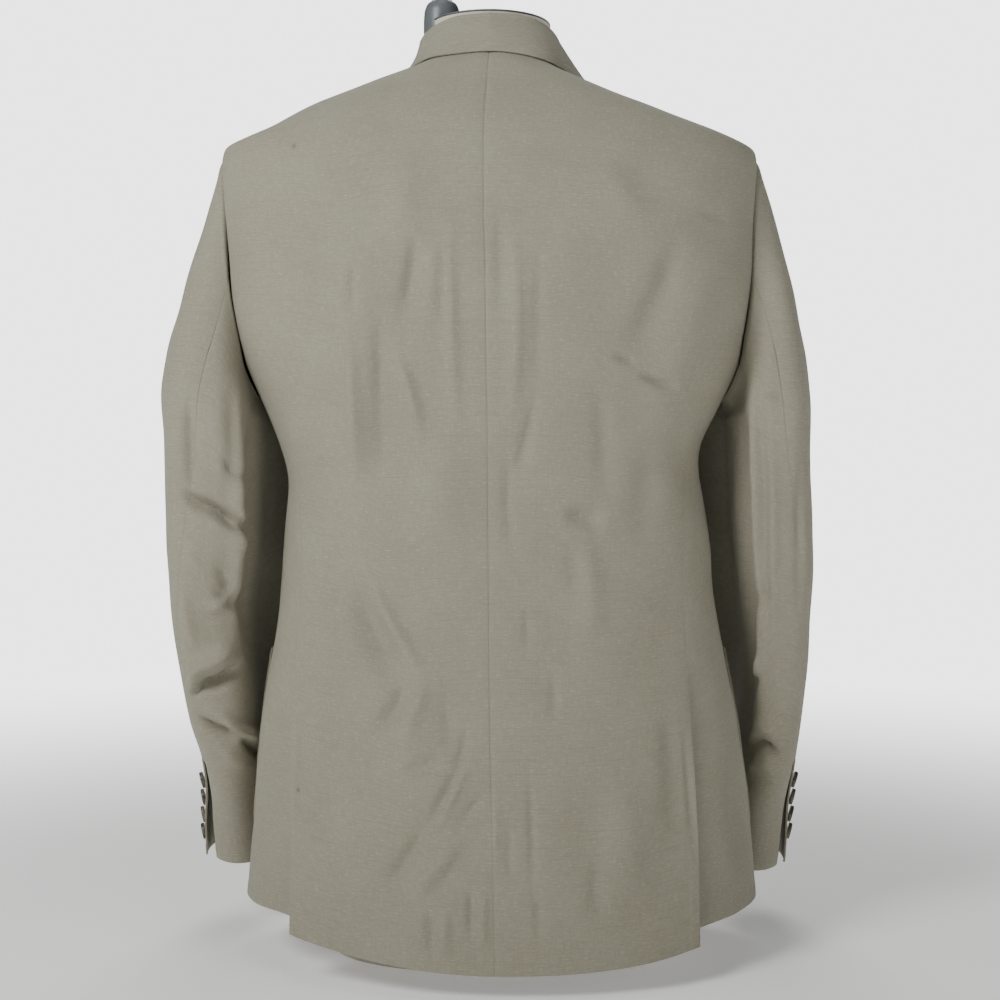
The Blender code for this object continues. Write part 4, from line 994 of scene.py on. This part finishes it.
def sleeve_ring(side, height, turn):
    """Points of the sleeve below the armhole."""
    table = SLEEVES[side]
    half = reading(table, height, "width") / 2
    c, s = np.cos(np.radians(turn)), np.sin(np.radians(turn))
    square = 2 + (SLEEVE_SQUARENESS - 2) * between(height, SQUARE_FROM, SQUARE_TO)
    c, s = np.sign(c) * np.abs(c) ** (2 / square), np.sign(s) * np.abs(s) ** (2 / square)
    x = reading(table, height, "outer") - half + half * c - reading(table, height, "lean") * between(-s, 0, 1)
    deep = reading(table, height, "half_depth") * s
    tilt = CUFF_TILT * (1 - between(height, table[0].height, SLEEVE_TOP))
    return np.stack((side * x, reading(table, height, "centre_y") + deep, height - tilt * deep), axis=-1)


def sleeve_height(side, along):
    """The height of a sleeve's ring between the underarm and the cuff."""
    return SLEEVE_TOP + (SLEEVES[side][0].height - SLEEVE_TOP) * along


def sleeve(side, along, turn):
    """Points of the sleeve: along runs from -1 at the armhole over 0 at the underarm to 1 at the cuff."""
    along, turn = np.broadcast_arrays(np.asarray(along, float), np.asarray(turn, float))
    lower = sleeve_ring(side, sleeve_height(side, np.maximum(along, 0)), turn)
    level, angle = armhole(turn)
    seat = torso(level, angle, side) + np.array((side * SLEEVE_SEAT_GAP, 0, 0))
    end = sleeve_ring(side, np.full(turn.shape, SLEEVE_TOP), turn)
    below = sleeve_ring(side, np.full(turn.shape, SLEEVE_TOP - CAP_END_STEP), turn)
    run = np.linalg.norm(end - seat, axis=-1, keepdims=True)
    start_pull = end - seat + np.array((side * SLEEVE_HEAD_PUFF[side], 0, 0))
    end_pull = unit(below - end) * run
    t = np.clip(along + 1, 0, 1)[..., None]
    cap = (
        seat * (1 + t * t * (2 * t - 3))
        + end * (t * t * (3 - 2 * t))
        + start_pull * (t * (1 - t) ** 2)
        + end_pull * (t * t * (t - 1))
    )
    return np.where(along[..., None] >= 0, lower, cap)


def sleeve_normal(side, along, turn):
    """The way out of a sleeve at points of its surface."""
    round_ = sleeve(side, along, turn + 1) - sleeve(side, along, turn - 1)
    lower = sleeve(side, np.minimum(1, along + SLEEVE_NORMAL_RUN), turn)
    drop = lower - sleeve(side, along - SLEEVE_NORMAL_RUN, turn)
    return unit(np.cross(round_, drop)) * -side


def hind_seam(side, along):
    """The angle of the seam behind the arm, which turns outwards on its way to the cuff."""
    along = np.asarray(along)
    height = np.where(along >= 0, sleeve_height(side, along), SLEEVE_TOP - CAP_HEIGHT * along)
    return reading(HIND_SEAM, height, "angle")


def cuff_gape(side, along):
    """The top sleeve's vent edge stands off the under sleeve near the cuff."""
    height = sleeve_height(side, np.maximum(along, 0))
    return CUFF_VENT_GAPE[side] * (1 - between(height, SLEEVES[side][0].height, CUFF_VENT_TOP))


def make_sleeves(cloth):
    """Sleeves of two cuts: the top one laps over the under one at the cuff's vent."""
    along = np.concatenate((-1 + CAP_EDGE_STEPS, CAP_ROWS, ARM_ROWS, CUFF_ROWS))[:, None]
    gap = np.degrees(0.5 * SEAM_GAP / SLEEVE_MEAN_RADIUS)
    rounding = np.radians(SLEEVE_MEAN_RADIUS)
    for side in (+1, -1):
        mine = [crease for crease in SLEEVE_CREASES if crease.side == side]
        hind = hind_seam(side, along)
        height = sleeve_height(side, np.maximum(along, 0))
        vent = between(height, CUFF_VENT_TOP - CUFF_VENT_EASE, CUFF_VENT_TOP)
        for cut, width, step in (("top", TOP_SLEEVE_WIDTH, CLOTH_STEP), ("under", UNDER_SLEEVE_WIDTH, BACK_STEP)):
            share = spread(width, step)[None, :]
            far = FORE_SEAM if cut == "under" else FORE_SEAM - 360
            way = np.sign(far)
            first = hind + way * gap
            if cut == "under":
                first = first - (1 - vent) * np.degrees(CUFF_UNDERLAP / SLEEVE_MEAN_RADIUS)
            turn = first + (far - way * gap - first) * share
            if cut == "top":
                lift = cuff_gape(side, along) * (1 - between(np.abs(turn - hind), 0, CUFF_GAPE_REACH))
            else:
                lift = -(SLEEVE_CLOTH + CUFF_LAYER_GAP) * (1 - vent) * (1 - between(turn - hind, *CUFF_SINKS_OVER))
            points = sleeve(side, along, turn)
            points = points + sleeve_normal(side, along, turn) * lift[..., None]
            push = crease_push(mine, np.mod(turn, 360) * rounding, points[..., 2], rounding)
            push = push * between(along, *CAP_CREASES_FADE)
            mid_turn = turn[turn.shape[0] // 2, turn.shape[1] // 2]
            outwards = sleeve_normal(side, along[along.shape[0] // 2, 0], mid_turn)
            vent_kind = (vent[::-1, 0] < 0.5, "turned" if cut == "top" else "plain", "flat_seam")
            # From the cuff up, so that the weave lies square to the arm
            points = shaped(points[::-1], outwards, vent_kind, "flat_seam", "turned", "armhole_seam", push[::-1])
            node = f"{cut}_sleeve_{hand(side)}"
            cloth_piece(node, points, outwards, SLEEVE_CLOTH, cloth)


def pocket_inset(level):
    """How far the rounded lower corners come in from the pocket's sides."""
    drop = np.clip((POCKET_BOTTOM + POCKET_CORNER - level) / POCKET_CORNER, 0, 1)
    return POCKET_CORNER * (1 - np.sqrt(1 - drop * drop * CORNER_SOFTNESS))


def pocket_lift(level, angle, side):
    """Pockets lie on the fronts and stand off a little at their upper back corner."""
    edge = 1 - between(angle, POCKET_BACK, POCKET_BACK + POCKET_GAPE_REACH)
    edge = edge * between(level, POCKET_BOTTOM, POCKET_TOP)
    return TRIM_CLOTH + LAYER_GAP + left_over_right(angle, side) + POCKET_STAND_OFF * edge


def make_pockets(cloth):
    """Patch pockets with rounded lower corners, turned in all round."""
    rows = np.arange(POCKET_BOTTOM + POCKET_ROWS_START, POCKET_TOP - POCKET_ROWS_END, CLOTH_STEP)
    levels = np.concatenate((POCKET_BOTTOM + POCKET_FOOT_STEPS, rows, POCKET_TOP - POCKET_TOP_STEPS))[:, None]
    for side in (+1, -1):
        first = trimmed(levels, POCKET_BACK, side, pocket_inset(levels))
        last = trimmed(levels, POCKET_FRONT, side, -pocket_inset(levels))
        angle = first + (last - first) * spread(POCKET_WIDTH)[None, :]
        points = on_torso(levels, angle, side, pocket_lift(levels, angle, side))
        push = crease_push(FRONT_CREASES, points[..., 0], points[..., 2])
        outwards = torso_normal(*POCKET_MIDDLE, side)
        points = shaped(points, outwards, "turned", "turned", "turned", "turned", push)
        cloth_piece(f"pocket_{hand(side)}", points, outwards, TRIM_CLOTH, cloth, FREE_RIM)


def make_lapels(cloth):
    """Lapels: the cloth comes round the front's edge in a soft roll and lies back on the front."""
    base = TRIM_CLOTH + LAYER_GAP
    along = spread(LAPEL_LENGTH)[:, None]
    share = spread(LAPEL_WIDTH)[None, 1:]
    turn = LAPEL_ROLL_TURN[None, :]
    for side in (+1, -1):
        foot, head = BREAK + LAPEL_ABOVE_BREAK, GORGE - LAPEL_BELOW_GORGE
        level = foot + (head - foot) * along
        edge_x, edge_level = reading(LAPEL, along, "edge_x"), reading(LAPEL, along, "edge_height")
        x = roll_x(level) + (edge_x - roll_x(level)) * share
        height = level + (edge_level - level) * share
        belly = LAPEL_BELLY * np.sin(np.pi * share) * between(along, 0, LAPEL_BELLY_FULL_AT)
        belly = belly + LAPEL_EASE * (1 - share)
        roll = roll_x(level) - LAPEL_ROLL * np.cos(turn) * between(along, 0.0, LAPEL_ROLL_FULL_AT)
        lift = base + LAPEL_EASE - LAPEL_ROLL * (1 - np.sin(turn))
        x = np.concatenate((roll, x), axis=1)
        height = np.concatenate((level + 0 * turn, height), axis=1)
        lift = np.concatenate((lift + 0 * level, base + belly), axis=1)
        angle = angle_at_x(height, x, True)
        points = on_torso(height, angle, side, lift + left_over_right(angle, side))
        outwards = (side * 0.3, -1, 0)
        points = shaped(points, outwards, "plain", "turned", "plain", "seam")
        cloth_piece(f"lapel_{hand(side)}", points, outwards, TRIM_CLOTH, cloth, FREE_RIM)


def clear_of_coat(points, side, lift):
    """The points themselves, or moved out until they are this far off the coat."""
    level = np.minimum(points[..., 2], NECK)
    for _ in range(LEVEL_SEARCHES):
        x = side * (points[..., 0] - reading(TORSO, level, "sway"))
        angle = angle_at_x(level, x, points[..., 1] < 0)
        level = np.minimum(level + points[..., 2] - torso(level, angle, side)[..., 2], NECK)
    normal = torso_normal(level, angle, side)
    short = lift + left_over_right(angle, side) - np.sum((points - torso(level, angle, side)) * normal, axis=-1)
    return points + normal * np.maximum(0.0, short)[..., None]


def collar_half(along, side):
    """Rows of points across one half of the collar: up the stand, over the fold and down the fall."""
    row = {name: reading(COLLAR, along, name) for name in CollarRow._fields}
    fold = np.stack((side * row["fold_x"], row["fold_y"], row["fold_z"]), axis=-1)
    hang = reading(SHOULDER_DROP, NECK, hand(side)) * (row["seam_x"] / SEAM_REACH) ** 2
    seam = np.stack((side * row["seam_x"], row["seam_y"], row["seam_z"] - hang), axis=-1)
    front = along > 0.5
    reach = reading(FALL_REACH, along, hand(side))
    edge_level = row["edge_z"] - FALL_REACH_DROP * reach
    angle = angle_at_x(edge_level, row["edge_x"] + reach, front)
    sunk = NECK_RISE * np.clip(1 - along / COLLAR_SUNK_UNTIL, 0, 1)
    edge = on_torso(edge_level - sunk, angle, side, np.full(along.shape, FALL_LIFT))
    notch_angle = angle_at_x(COLLAR_NOTCH[1], COLLAR_NOTCH[0], True)
    notch = on_torso(COLLAR_NOTCH[1], notch_angle, side, np.array(FALL_LIFT))
    drawn = (between(along, COLLAR_DRAWN_FROM, 1.0) * front)[:, None, None]
    out = edge - seam
    out[:, 2] = 0
    out = unit(out)
    up = np.array((0, 0, 1.0))
    foot = seam - out * STAND_FOOT_IN - up * STAND_FOOT_DROP
    stand = foot[:, None] + (fold - out * FOLD_RADIUS - foot)[:, None] * STAND_SHARES[None, :, None]
    turn = FOLD_TURN[None, :, None]
    over = fold[:, None] + FOLD_RADIUS * (out[:, None] * np.cos(turn) + up * np.sin(turn))
    t = FALL_SHARES[None, :, None]
    top = (fold + out * FOLD_RADIUS)[:, None]
    plain = top + (edge[:, None] - top) * t
    to_notch = top + (notch - top) * t / COLLAR_NOTCH_AT
    to_edge = notch + (edge[:, None] - notch) * (t - COLLAR_NOTCH_AT) / (1 - COLLAR_NOTCH_AT)
    bent = np.where(t < COLLAR_NOTCH_AT, to_notch, to_edge)
    fall = plain + (bent - plain) * drawn
    fall = fall + out[:, None] * reading(FALL_BOW, along, hand(side))[:, None, None] * np.sin(np.pi * t)
    fall = clear_of_coat(fall, side, FALL_LIFT)
    return np.concatenate((stand, over, fall), axis=1)


def make_collar(cloth):
    """The collar, with its rows along it so that the weave runs from end to end."""
    along = spread(COLLAR_HALF_LENGTH, COLLAR_STEP)
    points = np.concatenate((collar_half(along[:0:-1], -1), collar_half(along, +1))).transpose(1, 0, 2)
    points = shaped(points, (0, 0, 1), "turned", "turned", "plain", "turned")
    cloth_piece("collar", points, (0, 0, 1), COLLAR_CLOTH, cloth, FREE_RIM)


def make_button(name, radius, horn, thread):
    """A turned button, modelled lying at the origin: raised rim, dished middle, four holes and crossed thread."""
    deselect()
    bpy.ops.mesh.primitive_cylinder_add(vertices=40, radius=radius, depth=BUTTON_THICK)
    button = bpy.context.object
    button.name = button.data.name = name
    bpy.ops.object.mode_set(mode="EDIT")
    bpy.ops.mesh.select_all(action="DESELECT")
    bpy.ops.object.mode_set(mode="OBJECT")
    for face in button.data.polygons:
        face.select = face.normal.z > 0.9
    bpy.ops.object.mode_set(mode="EDIT")
    bpy.ops.mesh.inset(thickness=radius * BUTTON_RIM)
    bpy.ops.mesh.inset(thickness=radius * BUTTON_STEP, depth=-BUTTON_THICK * BUTTON_DISH)
    bpy.ops.mesh.inset(thickness=radius * BUTTON_STEP)
    bpy.ops.object.mode_set(mode="OBJECT")
    rim = button.modifiers.new("rim", "BEVEL")
    rim.width = BUTTON_THICK * BUTTON_SOFTNESS
    rim.segments = 3
    rim.limit_method = "ANGLE"
    bpy.ops.object.modifier_apply(modifier="rim")
    hole = radius * HOLE_RADIUS
    spots = [(dx * radius * HOLE_PLACE, dy * radius * HOLE_PLACE) for dx in (-1, 1) for dy in (-1, 1)]
    for x, y in spots:
        bpy.ops.mesh.primitive_cylinder_add(vertices=12, radius=hole, depth=BUTTON_THICK * 3, location=(x, y, 0))
        drill = bpy.context.object
        cut = button.modifiers.new("hole", "BOOLEAN")
        cut.object = drill
        cut.operation = "DIFFERENCE"
        bpy.context.view_layer.objects.active = button
        bpy.ops.object.modifier_apply(modifier="hole")
        bpy.data.objects.remove(drill)
    button.data.materials.clear()
    button.data.materials.append(horn)
    deselect()
    bars = []
    for turn in (45, 135):
        bpy.ops.mesh.primitive_cylinder_add(
            vertices=8, radius=hole * THREAD_RADIUS, depth=radius * THREAD_LENGTH,
            location=(0, 0, BUTTON_THICK * THREAD_HEIGHT), rotation=(np.pi / 2, 0, np.radians(turn)),
        )
        bar = bpy.context.object
        bar.data.materials.append(thread)
        bars.append(bar)
    deselect()
    for part in (*bars, button):
        part.select_set(True)
    bpy.context.view_layer.objects.active = button
    bpy.ops.object.join()
    deselect()
    button.select_set(True)
    bpy.ops.object.shade_smooth_by_angle(angle=np.radians(40))
    return button


def place_button(pattern, node, place, facing, turn, lean=0.0):
    """A copy of a button with its own mesh, laid on the cloth. Lean tips its upper edge outwards on its thread."""
    copy = bpy.data.objects.new(f"{node}_horn", pattern.data.copy())
    bpy.context.scene.collection.objects.link(copy)
    away = (Vector(facing) - Vector((0, 0, lean))).normalized()
    way = away.to_track_quat("Z", "Y").to_matrix().to_4x4() @ Matrix.Rotation(turn, 4, "Z")
    spot = Vector(place) + away * (BUTTON_THICK / 2 + BUTTON_OFF_CLOTH)
    copy.data.transform(Matrix.Translation(spot) @ way)
    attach(copy, "root")
    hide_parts(node)


def make_buttons(horn, thread):
    """One large and one small button, modelled once each and copied to their places."""
    large = make_button("front_button", FRONT_BUTTON_RADIUS, horn, thread)
    small = make_button("cuff_button", CUFF_BUTTON_RADIUS, horn, thread)
    for number, height in enumerate(FRONT_BUTTON_HEIGHTS, 1):
        node = f"front_button_{number}"
        level, angle = np.array(height), np.array(180.0)
        place = on_torso(level, angle, +1, left_over_right(angle, +1))
        facing = torso_normal(level, angle, +1)
        place_button(large, node, place, facing, FRONT_BUTTON_TURN * number)
    for side in (+1, -1):
        for number, height in enumerate(CUFF_BUTTON_HEIGHTS, 1):
            node = f"cuff_button_{hand(side)}_{number}"
            along = np.array((height - SLEEVE_TOP) / (SLEEVES[side][0].height - SLEEVE_TOP))
            turn = hind_seam(side, along) - CUFF_BUTTON_INSET
            facing = sleeve_normal(side, along, turn)
            off = cuff_gape(side, along) * CUFF_BUTTON_GAPE + CUFF_BUTTON_OFF
            place = sleeve(side, along, turn) + facing * off
            place_button(small, node, place, facing, CUFF_BUTTON_TURN * number, CUFF_BUTTON_LEAN)
    bpy.data.objects.remove(large)
    bpy.data.objects.remove(small)


def tube_piece(name, rings, material, node):
    """A closed turned or lofted solid through rings of points, capped at both ends."""
    piece = laid_grid(name, np.concatenate((rings, rings[:, :1]), axis=1))
    bpy.ops.object.mode_set(mode="EDIT")
    bpy.ops.mesh.select_all(action="SELECT")
    bpy.ops.mesh.remove_doubles(threshold=1e-6)
    bpy.ops.mesh.fill_holes(sides=0)
    bpy.ops.mesh.normals_make_consistent(inside=False)
    bpy.ops.object.mode_set(mode="OBJECT")
    piece.data.materials.clear()
    piece.data.materials.append(material)
    bpy.ops.object.shade_smooth_by_angle(angle=np.radians(50))
    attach(piece, "root")
    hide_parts(node)


def form_rings(heights, table):
    """Oval rings of the form at each height."""
    turn = np.linspace(0, 2 * np.pi, FORM_COLUMNS, endpoint=False)[None, :]
    heights = np.asarray(heights)[:, None]
    back, front = reading(table, heights, "back_depth"), reading(table, heights, "front_depth")
    deep = np.where(np.cos(turn) >= 0, back, front)
    wide = reading(table, heights, "half_width")
    return np.stack((wide * np.sin(turn), deep * np.cos(turn), heights + 0 * turn), axis=-1)


def make_form(jersey, steel):
    """The covered torso, the plate on its neck with a rounded edge, and the turned post."""
    heights = np.concatenate((FORM_BODY_ROWS, FORM_SHOULDER_ROWS))
    tube_piece("form_torso_cover", form_rings(heights, FORM), jersey, "form_torso")
    low, high = NECK_CAP_EDGE, NECK_CAP_THICK - NECK_CAP_EDGE
    plate = np.array([0, 0, low, high, NECK_CAP_THICK, NECK_CAP_THICK])
    ring = form_rings([NECK_CAP.height], [NECK_CAP, NECK_CAP._replace(height=1.0)])
    rings = np.repeat(ring, len(plate), axis=0)
    rings[..., :2] *= NECK_CAP_SHRINK[:, None, None]
    rings[..., 2] += plate[:, None]
    tube_piece("form_cap_plate", rings, steel, "form_cap")
    heights = np.linspace(POST[0].height, POST[-1].height, POST_ROWS)[:, None]
    turn = np.linspace(0, 2 * np.pi, POST_COLUMNS, endpoint=False)[None, :]
    radius = reading(POST, heights, "radius")
    x, y = POST_X + radius * np.sin(turn), POST_Y + radius * np.cos(turn)
    rings = np.stack((x, y, heights + 0 * turn), axis=-1)
    tube_piece("form_post_turned", rings, steel, "form_post")


def linear(hex_colour):
    """An sRGB hex colour as linear RGBA."""
    parts = [int(hex_colour[i:i + 2], 16) / 255 for i in (1, 3, 5)]
    return (*[c / 12.92 if c <= 0.04045 else ((c + 0.055) / 1.055) ** 2.4 for c in parts], 1.0)


def add(tree, kind, inputs=None, **settings):
    """A node with its settings; an input is a value or another node's output."""
    made = tree.nodes.new(kind)
    for name, value in settings.items():
        setattr(made, name, value)
    for name, value in (inputs or {}).items():
        if isinstance(value, bpy.types.NodeSocket):
            tree.links.new(value, made.inputs[name])
        else:
            made.inputs[name].default_value = value
    return made


def per_metre(*sizes_mm):
    """A pattern's scale for the sizes of its marks in millimetres."""
    return tuple(1000 / size for size in sizes_mm)


def new_material(name, roughness):
    """A material with its node tree and its shader."""
    material = bpy.data.materials.new(name)
    material.use_nodes = True
    shader = material.node_tree.nodes["Principled BSDF"]
    shader.inputs["Roughness"].default_value = roughness
    return material, material.node_tree, shader


def linen_blend():
    """Washed linen-cotton plain weave: dry and matt, with uneven yarns and lighter slubs along the weft."""
    material, tree, shader = new_material("linen_cotton_plain_weave", 0.86)
    shader.inputs["Sheen Weight"].default_value = 0.12
    shader.inputs["Sheen Roughness"].default_value = 0.45
    shader.inputs["Specular IOR Level"].default_value = 0.25
    place = add(tree, "ShaderNodeTexCoord").outputs["UV"]

    def yarns(along_mm, across_mm, turned, detail):
        """Streaks as long and as thick as a yarn's uneven stretches."""
        size = per_metre(across_mm, along_mm) if turned else per_metre(along_mm, across_mm)
        spot = add(tree, "ShaderNodeMapping", {"Vector": place, "Scale": (*size, 1)}).outputs["Vector"]
        return add(tree, "ShaderNodeTexNoise", {"Vector": spot, "Scale": 1.0, "Detail": detail}).outputs["Fac"]

    # Yarns are about 0.6 mm apart on the real cloth; here they are drawn at 1.0 mm so that they show
    weft = yarns(11, 1.0, False, 2.0)
    warp = yarns(9, 1.0, True, 2.0)
    slub = yarns(5, 0.9, False, 1.0)
    pick = yarns(60, 1.2, False, 1.0)
    patch = yarns(55, 70, False, 3.0)
    both = add(tree, "ShaderNodeMath", {0: weft, 1: warp}, operation="ADD").outputs[0]
    body = add(tree, "ShaderNodeMapRange", {"Value": both, "From Min": 0.7, "From Max": 1.3}).outputs[0]
    thick = add(tree, "ShaderNodeMapRange", {"Value": slub, "From Min": 0.58, "From Max": 0.72}).outputs[0]
    thin = add(tree, "ShaderNodeMapRange", {"Value": pick, "From Min": 0.56, "From Max": 0.74}).outputs[0]
    ground = add(
        tree, "ShaderNodeMix", {"Factor": body, "A": linear("#949180"), "B": linear("#a09d8d")}, data_type="RGBA"
    )
    worn = add(
        tree, "ShaderNodeMix", {"Factor": patch, "A": linear("#e9e6df"), "B": linear("#ffffff")}, data_type="RGBA"
    )
    mottled = add(
        tree, "ShaderNodeMix", {"Factor": 1.0, "A": ground.outputs["Result"], "B": worn.outputs["Result"]},
        data_type="RGBA", blend_type="MULTIPLY",
    )
    share = add(tree, "ShaderNodeMath", {0: thick, 1: SLUB_STRENGTH}, operation="MULTIPLY").outputs[0]
    slubbed = add(
        tree, "ShaderNodeMix", {"Factor": share, "A": mottled.outputs["Result"], "B": linear("#c0b9a8")},
        data_type="RGBA",
    )
    line = add(tree, "ShaderNodeMath", {0: thin, 1: PICK_STRENGTH}, operation="MULTIPLY").outputs[0]
    picked = add(
        tree, "ShaderNodeMix", {"Factor": line, "A": slubbed.outputs["Result"], "B": linear("#827c6b")},
        data_type="RGBA",
    )
    marked = picked.outputs["Result"]
    here = add(tree, "ShaderNodeTexCoord").outputs["Object"]
    for spot in STAINS:
        away = add(tree, "ShaderNodeVectorMath", {0: here, 1: spot[:3]}, operation="DISTANCE").outputs["Value"]
        soaked = add(tree, "ShaderNodeMapRange", {
            "Value": away, "From Min": STAIN_CORE * spot.radius, "From Max": spot.radius,
            "To Min": spot.strength, "To Max": 0.0,
        }).outputs[0]
        marked = add(
            tree, "ShaderNodeMix", {"Factor": soaked, "A": marked, "B": linear("#5d5240")}, data_type="RGBA"
        ).outputs["Result"]
    tree.links.new(marked, shader.inputs["Base Color"])
    height = add(tree, "ShaderNodeMath", {0: both, 1: thick}, operation="ADD").outputs[0]
    bump = add(tree, "ShaderNodeBump", {"Height": height, "Strength": 0.35, "Distance": 0.0004})
    tree.links.new(bump.outputs["Normal"], shader.inputs["Normal"])
    return material


def horn():
    """Polished buffalo horn: dark grey-brown, with cloudy streaks and a satin shine."""
    material, tree, shader = new_material("polished_horn", 0.34)
    place = add(tree, "ShaderNodeTexCoord").outputs["Object"]
    # Streaks are about 4 mm by 8 to 11 mm
    spot = add(tree, "ShaderNodeMapping", {"Vector": place, "Scale": per_metre(3.85, 11.1, 8.33)}).outputs["Vector"]
    cloud = add(tree, "ShaderNodeTexNoise", {"Vector": spot, "Scale": 1.0, "Detail": 3.0}).outputs["Fac"]
    share = add(tree, "ShaderNodeMapRange", {"Value": cloud, "From Min": 0.35, "From Max": 0.7}).outputs[0]
    mix = add(
        tree, "ShaderNodeMix", {"Factor": share, "A": linear("#3f3a30"), "B": linear("#7d7566")}, data_type="RGBA"
    )
    tree.links.new(mix.outputs["Result"], shader.inputs["Base Color"])
    return material


def button_thread():
    """Waxed sewing thread: dull taupe with a fine twist."""
    material, tree, shader = new_material("waxed_thread", 0.7)
    place = add(tree, "ShaderNodeTexCoord").outputs["Object"]
    # Its twists are 0.45 mm apart
    fine = add(tree, "ShaderNodeMapping", {"Vector": place, "Scale": per_metre(0.45, 0.45, 0.45)}).outputs["Vector"]
    twist = add(tree, "ShaderNodeTexNoise", {"Vector": fine, "Scale": 1.0}).outputs["Fac"]
    mix = add(
        tree, "ShaderNodeMix", {"Factor": twist, "A": linear("#6f685a"), "B": linear("#958d7c")}, data_type="RGBA"
    )
    tree.links.new(mix.outputs["Result"], shader.inputs["Base Color"])
    return material


def cream_jersey():
    """Fine cotton jersey stretched over the form: cream, matt, with a faint knit grain."""
    material, tree, shader = new_material("cream_cotton_jersey", 0.9)
    shader.inputs["Sheen Weight"].default_value = 0.1
    place = add(tree, "ShaderNodeTexCoord").outputs["Object"]
    # Knit ribs are about 0.7 mm on the real cover; here they are 1.5 mm so that they show
    spot = add(tree, "ShaderNodeMapping", {"Vector": place, "Scale": per_metre(1.54, 1.54, 11.1)}).outputs["Vector"]
    rib = add(tree, "ShaderNodeTexNoise", {"Vector": spot, "Scale": 1.0, "Detail": 2.0}).outputs["Fac"]
    mix = add(
        tree, "ShaderNodeMix", {"Factor": rib, "A": linear("#d2ccbc"), "B": linear("#e6e1d3")}, data_type="RGBA"
    )
    tree.links.new(mix.outputs["Result"], shader.inputs["Base Color"])
    bump = add(tree, "ShaderNodeBump", {"Height": rib, "Strength": 0.3, "Distance": 0.0003})
    tree.links.new(bump.outputs["Normal"], shader.inputs["Normal"])
    return material


def grey_enamel():
    """Stove-enamelled steel: mid grey, satin, with a faint orange-peel surface."""
    material, tree, shader = new_material("grey_enamelled_steel", 0.38)
    place = add(tree, "ShaderNodeTexCoord").outputs["Object"]
    # Its dimples are about 2.4 mm apart
    fine = add(tree, "ShaderNodeMapping", {"Vector": place, "Scale": per_metre(2.38, 2.38, 2.38)}).outputs["Vector"]
    peel = add(tree, "ShaderNodeTexNoise", {"Vector": fine, "Scale": 1.0, "Detail": 2.0}).outputs["Fac"]
    mix = add(
        tree, "ShaderNodeMix", {"Factor": peel, "A": linear("#5b6163"), "B": linear("#6c7274")}, data_type="RGBA"
    )
    tree.links.new(mix.outputs["Result"], shader.inputs["Base Color"])
    bump = add(tree, "ShaderNodeBump", {"Height": peel, "Strength": 0.15, "Distance": 0.0003})
    tree.links.new(bump.outputs["Normal"], shader.inputs["Normal"])
    return material


def pale_floor():
    """Matt studio floor, almost white. It glows as painted light: faintly beside the coat, and more strongly
    further out.
    """
    material, tree, shader = new_material("matt_studio_floor", 0.95)
    place = add(tree, "ShaderNodeTexCoord").outputs["Object"]
    cloud = add(tree, "ShaderNodeTexNoise", {"Vector": place, "Scale": 2.0}).outputs["Fac"]
    mix = add(
        tree, "ShaderNodeMix", {"Factor": cloud, "A": linear("#f2f2f0"), "B": linear("#f7f7f6")}, data_type="RGBA"
    )
    tree.links.new(mix.outputs["Result"], shader.inputs["Base Color"])
    shader.inputs["Emission Color"].default_value = (1, 1, 1, 1)
    # Painted light: the floor glows, faintly near the coat and more strongly further out, so that it runs into the
    # white of the backdrop
    away = add(tree, "ShaderNodeVectorMath", {0: place}, operation="LENGTH").outputs["Value"]
    glow = add(tree, "ShaderNodeMapRange", {
        "Value": away, "From Min": GLOW_STARTS, "From Max": FLOOR_RADIUS,
        "To Min": FLOOR_GLOW_NEAR, "To Max": FLOOR_GLOW_RIM,
    }, interpolation_type="SMOOTHSTEP")
    tree.links.new(glow.outputs[0], shader.inputs["Emission Strength"])
    return material


def make_stage(floor_material):
    """A round floor and a white backdrop that only the camera sees, with a little light from all round."""
    deselect()
    bpy.ops.mesh.primitive_circle_add(vertices=128, radius=FLOOR_RADIUS, fill_type="NGON")
    floor = bpy.context.object
    floor.name = "studio_floor"
    floor.data.materials.append(floor_material)
    world = bpy.data.worlds.new("studio_white")
    world.use_nodes = True
    tree = world.node_tree
    soft = tree.nodes["Background"]
    soft.inputs["Color"].default_value = (1, 1, 1, 1)
    soft.inputs["Strength"].default_value = AMBIENT
    wall = add(tree, "ShaderNodeBackground", {"Color": (1, 1, 1, 1), "Strength": BACKDROP})
    seen = add(tree, "ShaderNodeLightPath").outputs["Is Camera Ray"]
    both = add(tree, "ShaderNodeMixShader", {0: seen, 1: soft.outputs[0], 2: wall.outputs[0]})
    tree.links.new(both.outputs[0], tree.nodes["World Output"].inputs["Surface"])
    bpy.context.scene.world = world


def add_lights():
    """Round panels, all turned to the coat."""
    for row in LIGHTS:
        deselect()
        bpy.ops.object.light_add(type="AREA", location=row.place)
        panel = bpy.context.object
        panel.name = row.name
        panel.data.shape = "DISK"
        panel.data.size = row.size
        panel.data.energy = row.power
        panel.rotation_euler = (Vector(LIGHTS_AIM) - Vector(row.place)).to_track_quat("-Z", "Y").to_euler()


def add_camera():
    """Level, behind the coat, as the photograph was taken."""
    deselect()
    bpy.ops.object.camera_add(location=CAMERA_PLACE, rotation=(np.pi / 2, 0, np.pi))
    camera = bpy.context.object
    camera.data.sensor_fit = "HORIZONTAL"
    camera.data.sensor_width = SENSOR_MM
    camera.data.lens = CAMERA_LENS_MM
    camera.data.clip_start = 0.02
    bpy.context.scene.camera = camera


coat_cloth = linen_blend()
button_horn = horn()
sewing_thread = button_thread()

make_backs(coat_cloth)
make_sides(coat_cloth)
make_fronts(coat_cloth)
make_lapels(coat_cloth)
make_collar(coat_cloth)
make_sleeves(coat_cloth)
make_pockets(coat_cloth)
make_buttons(button_horn, sewing_thread)
make_form(cream_jersey(), grey_enamel())

make_stage(pale_floor())
add_lights()
add_camera()
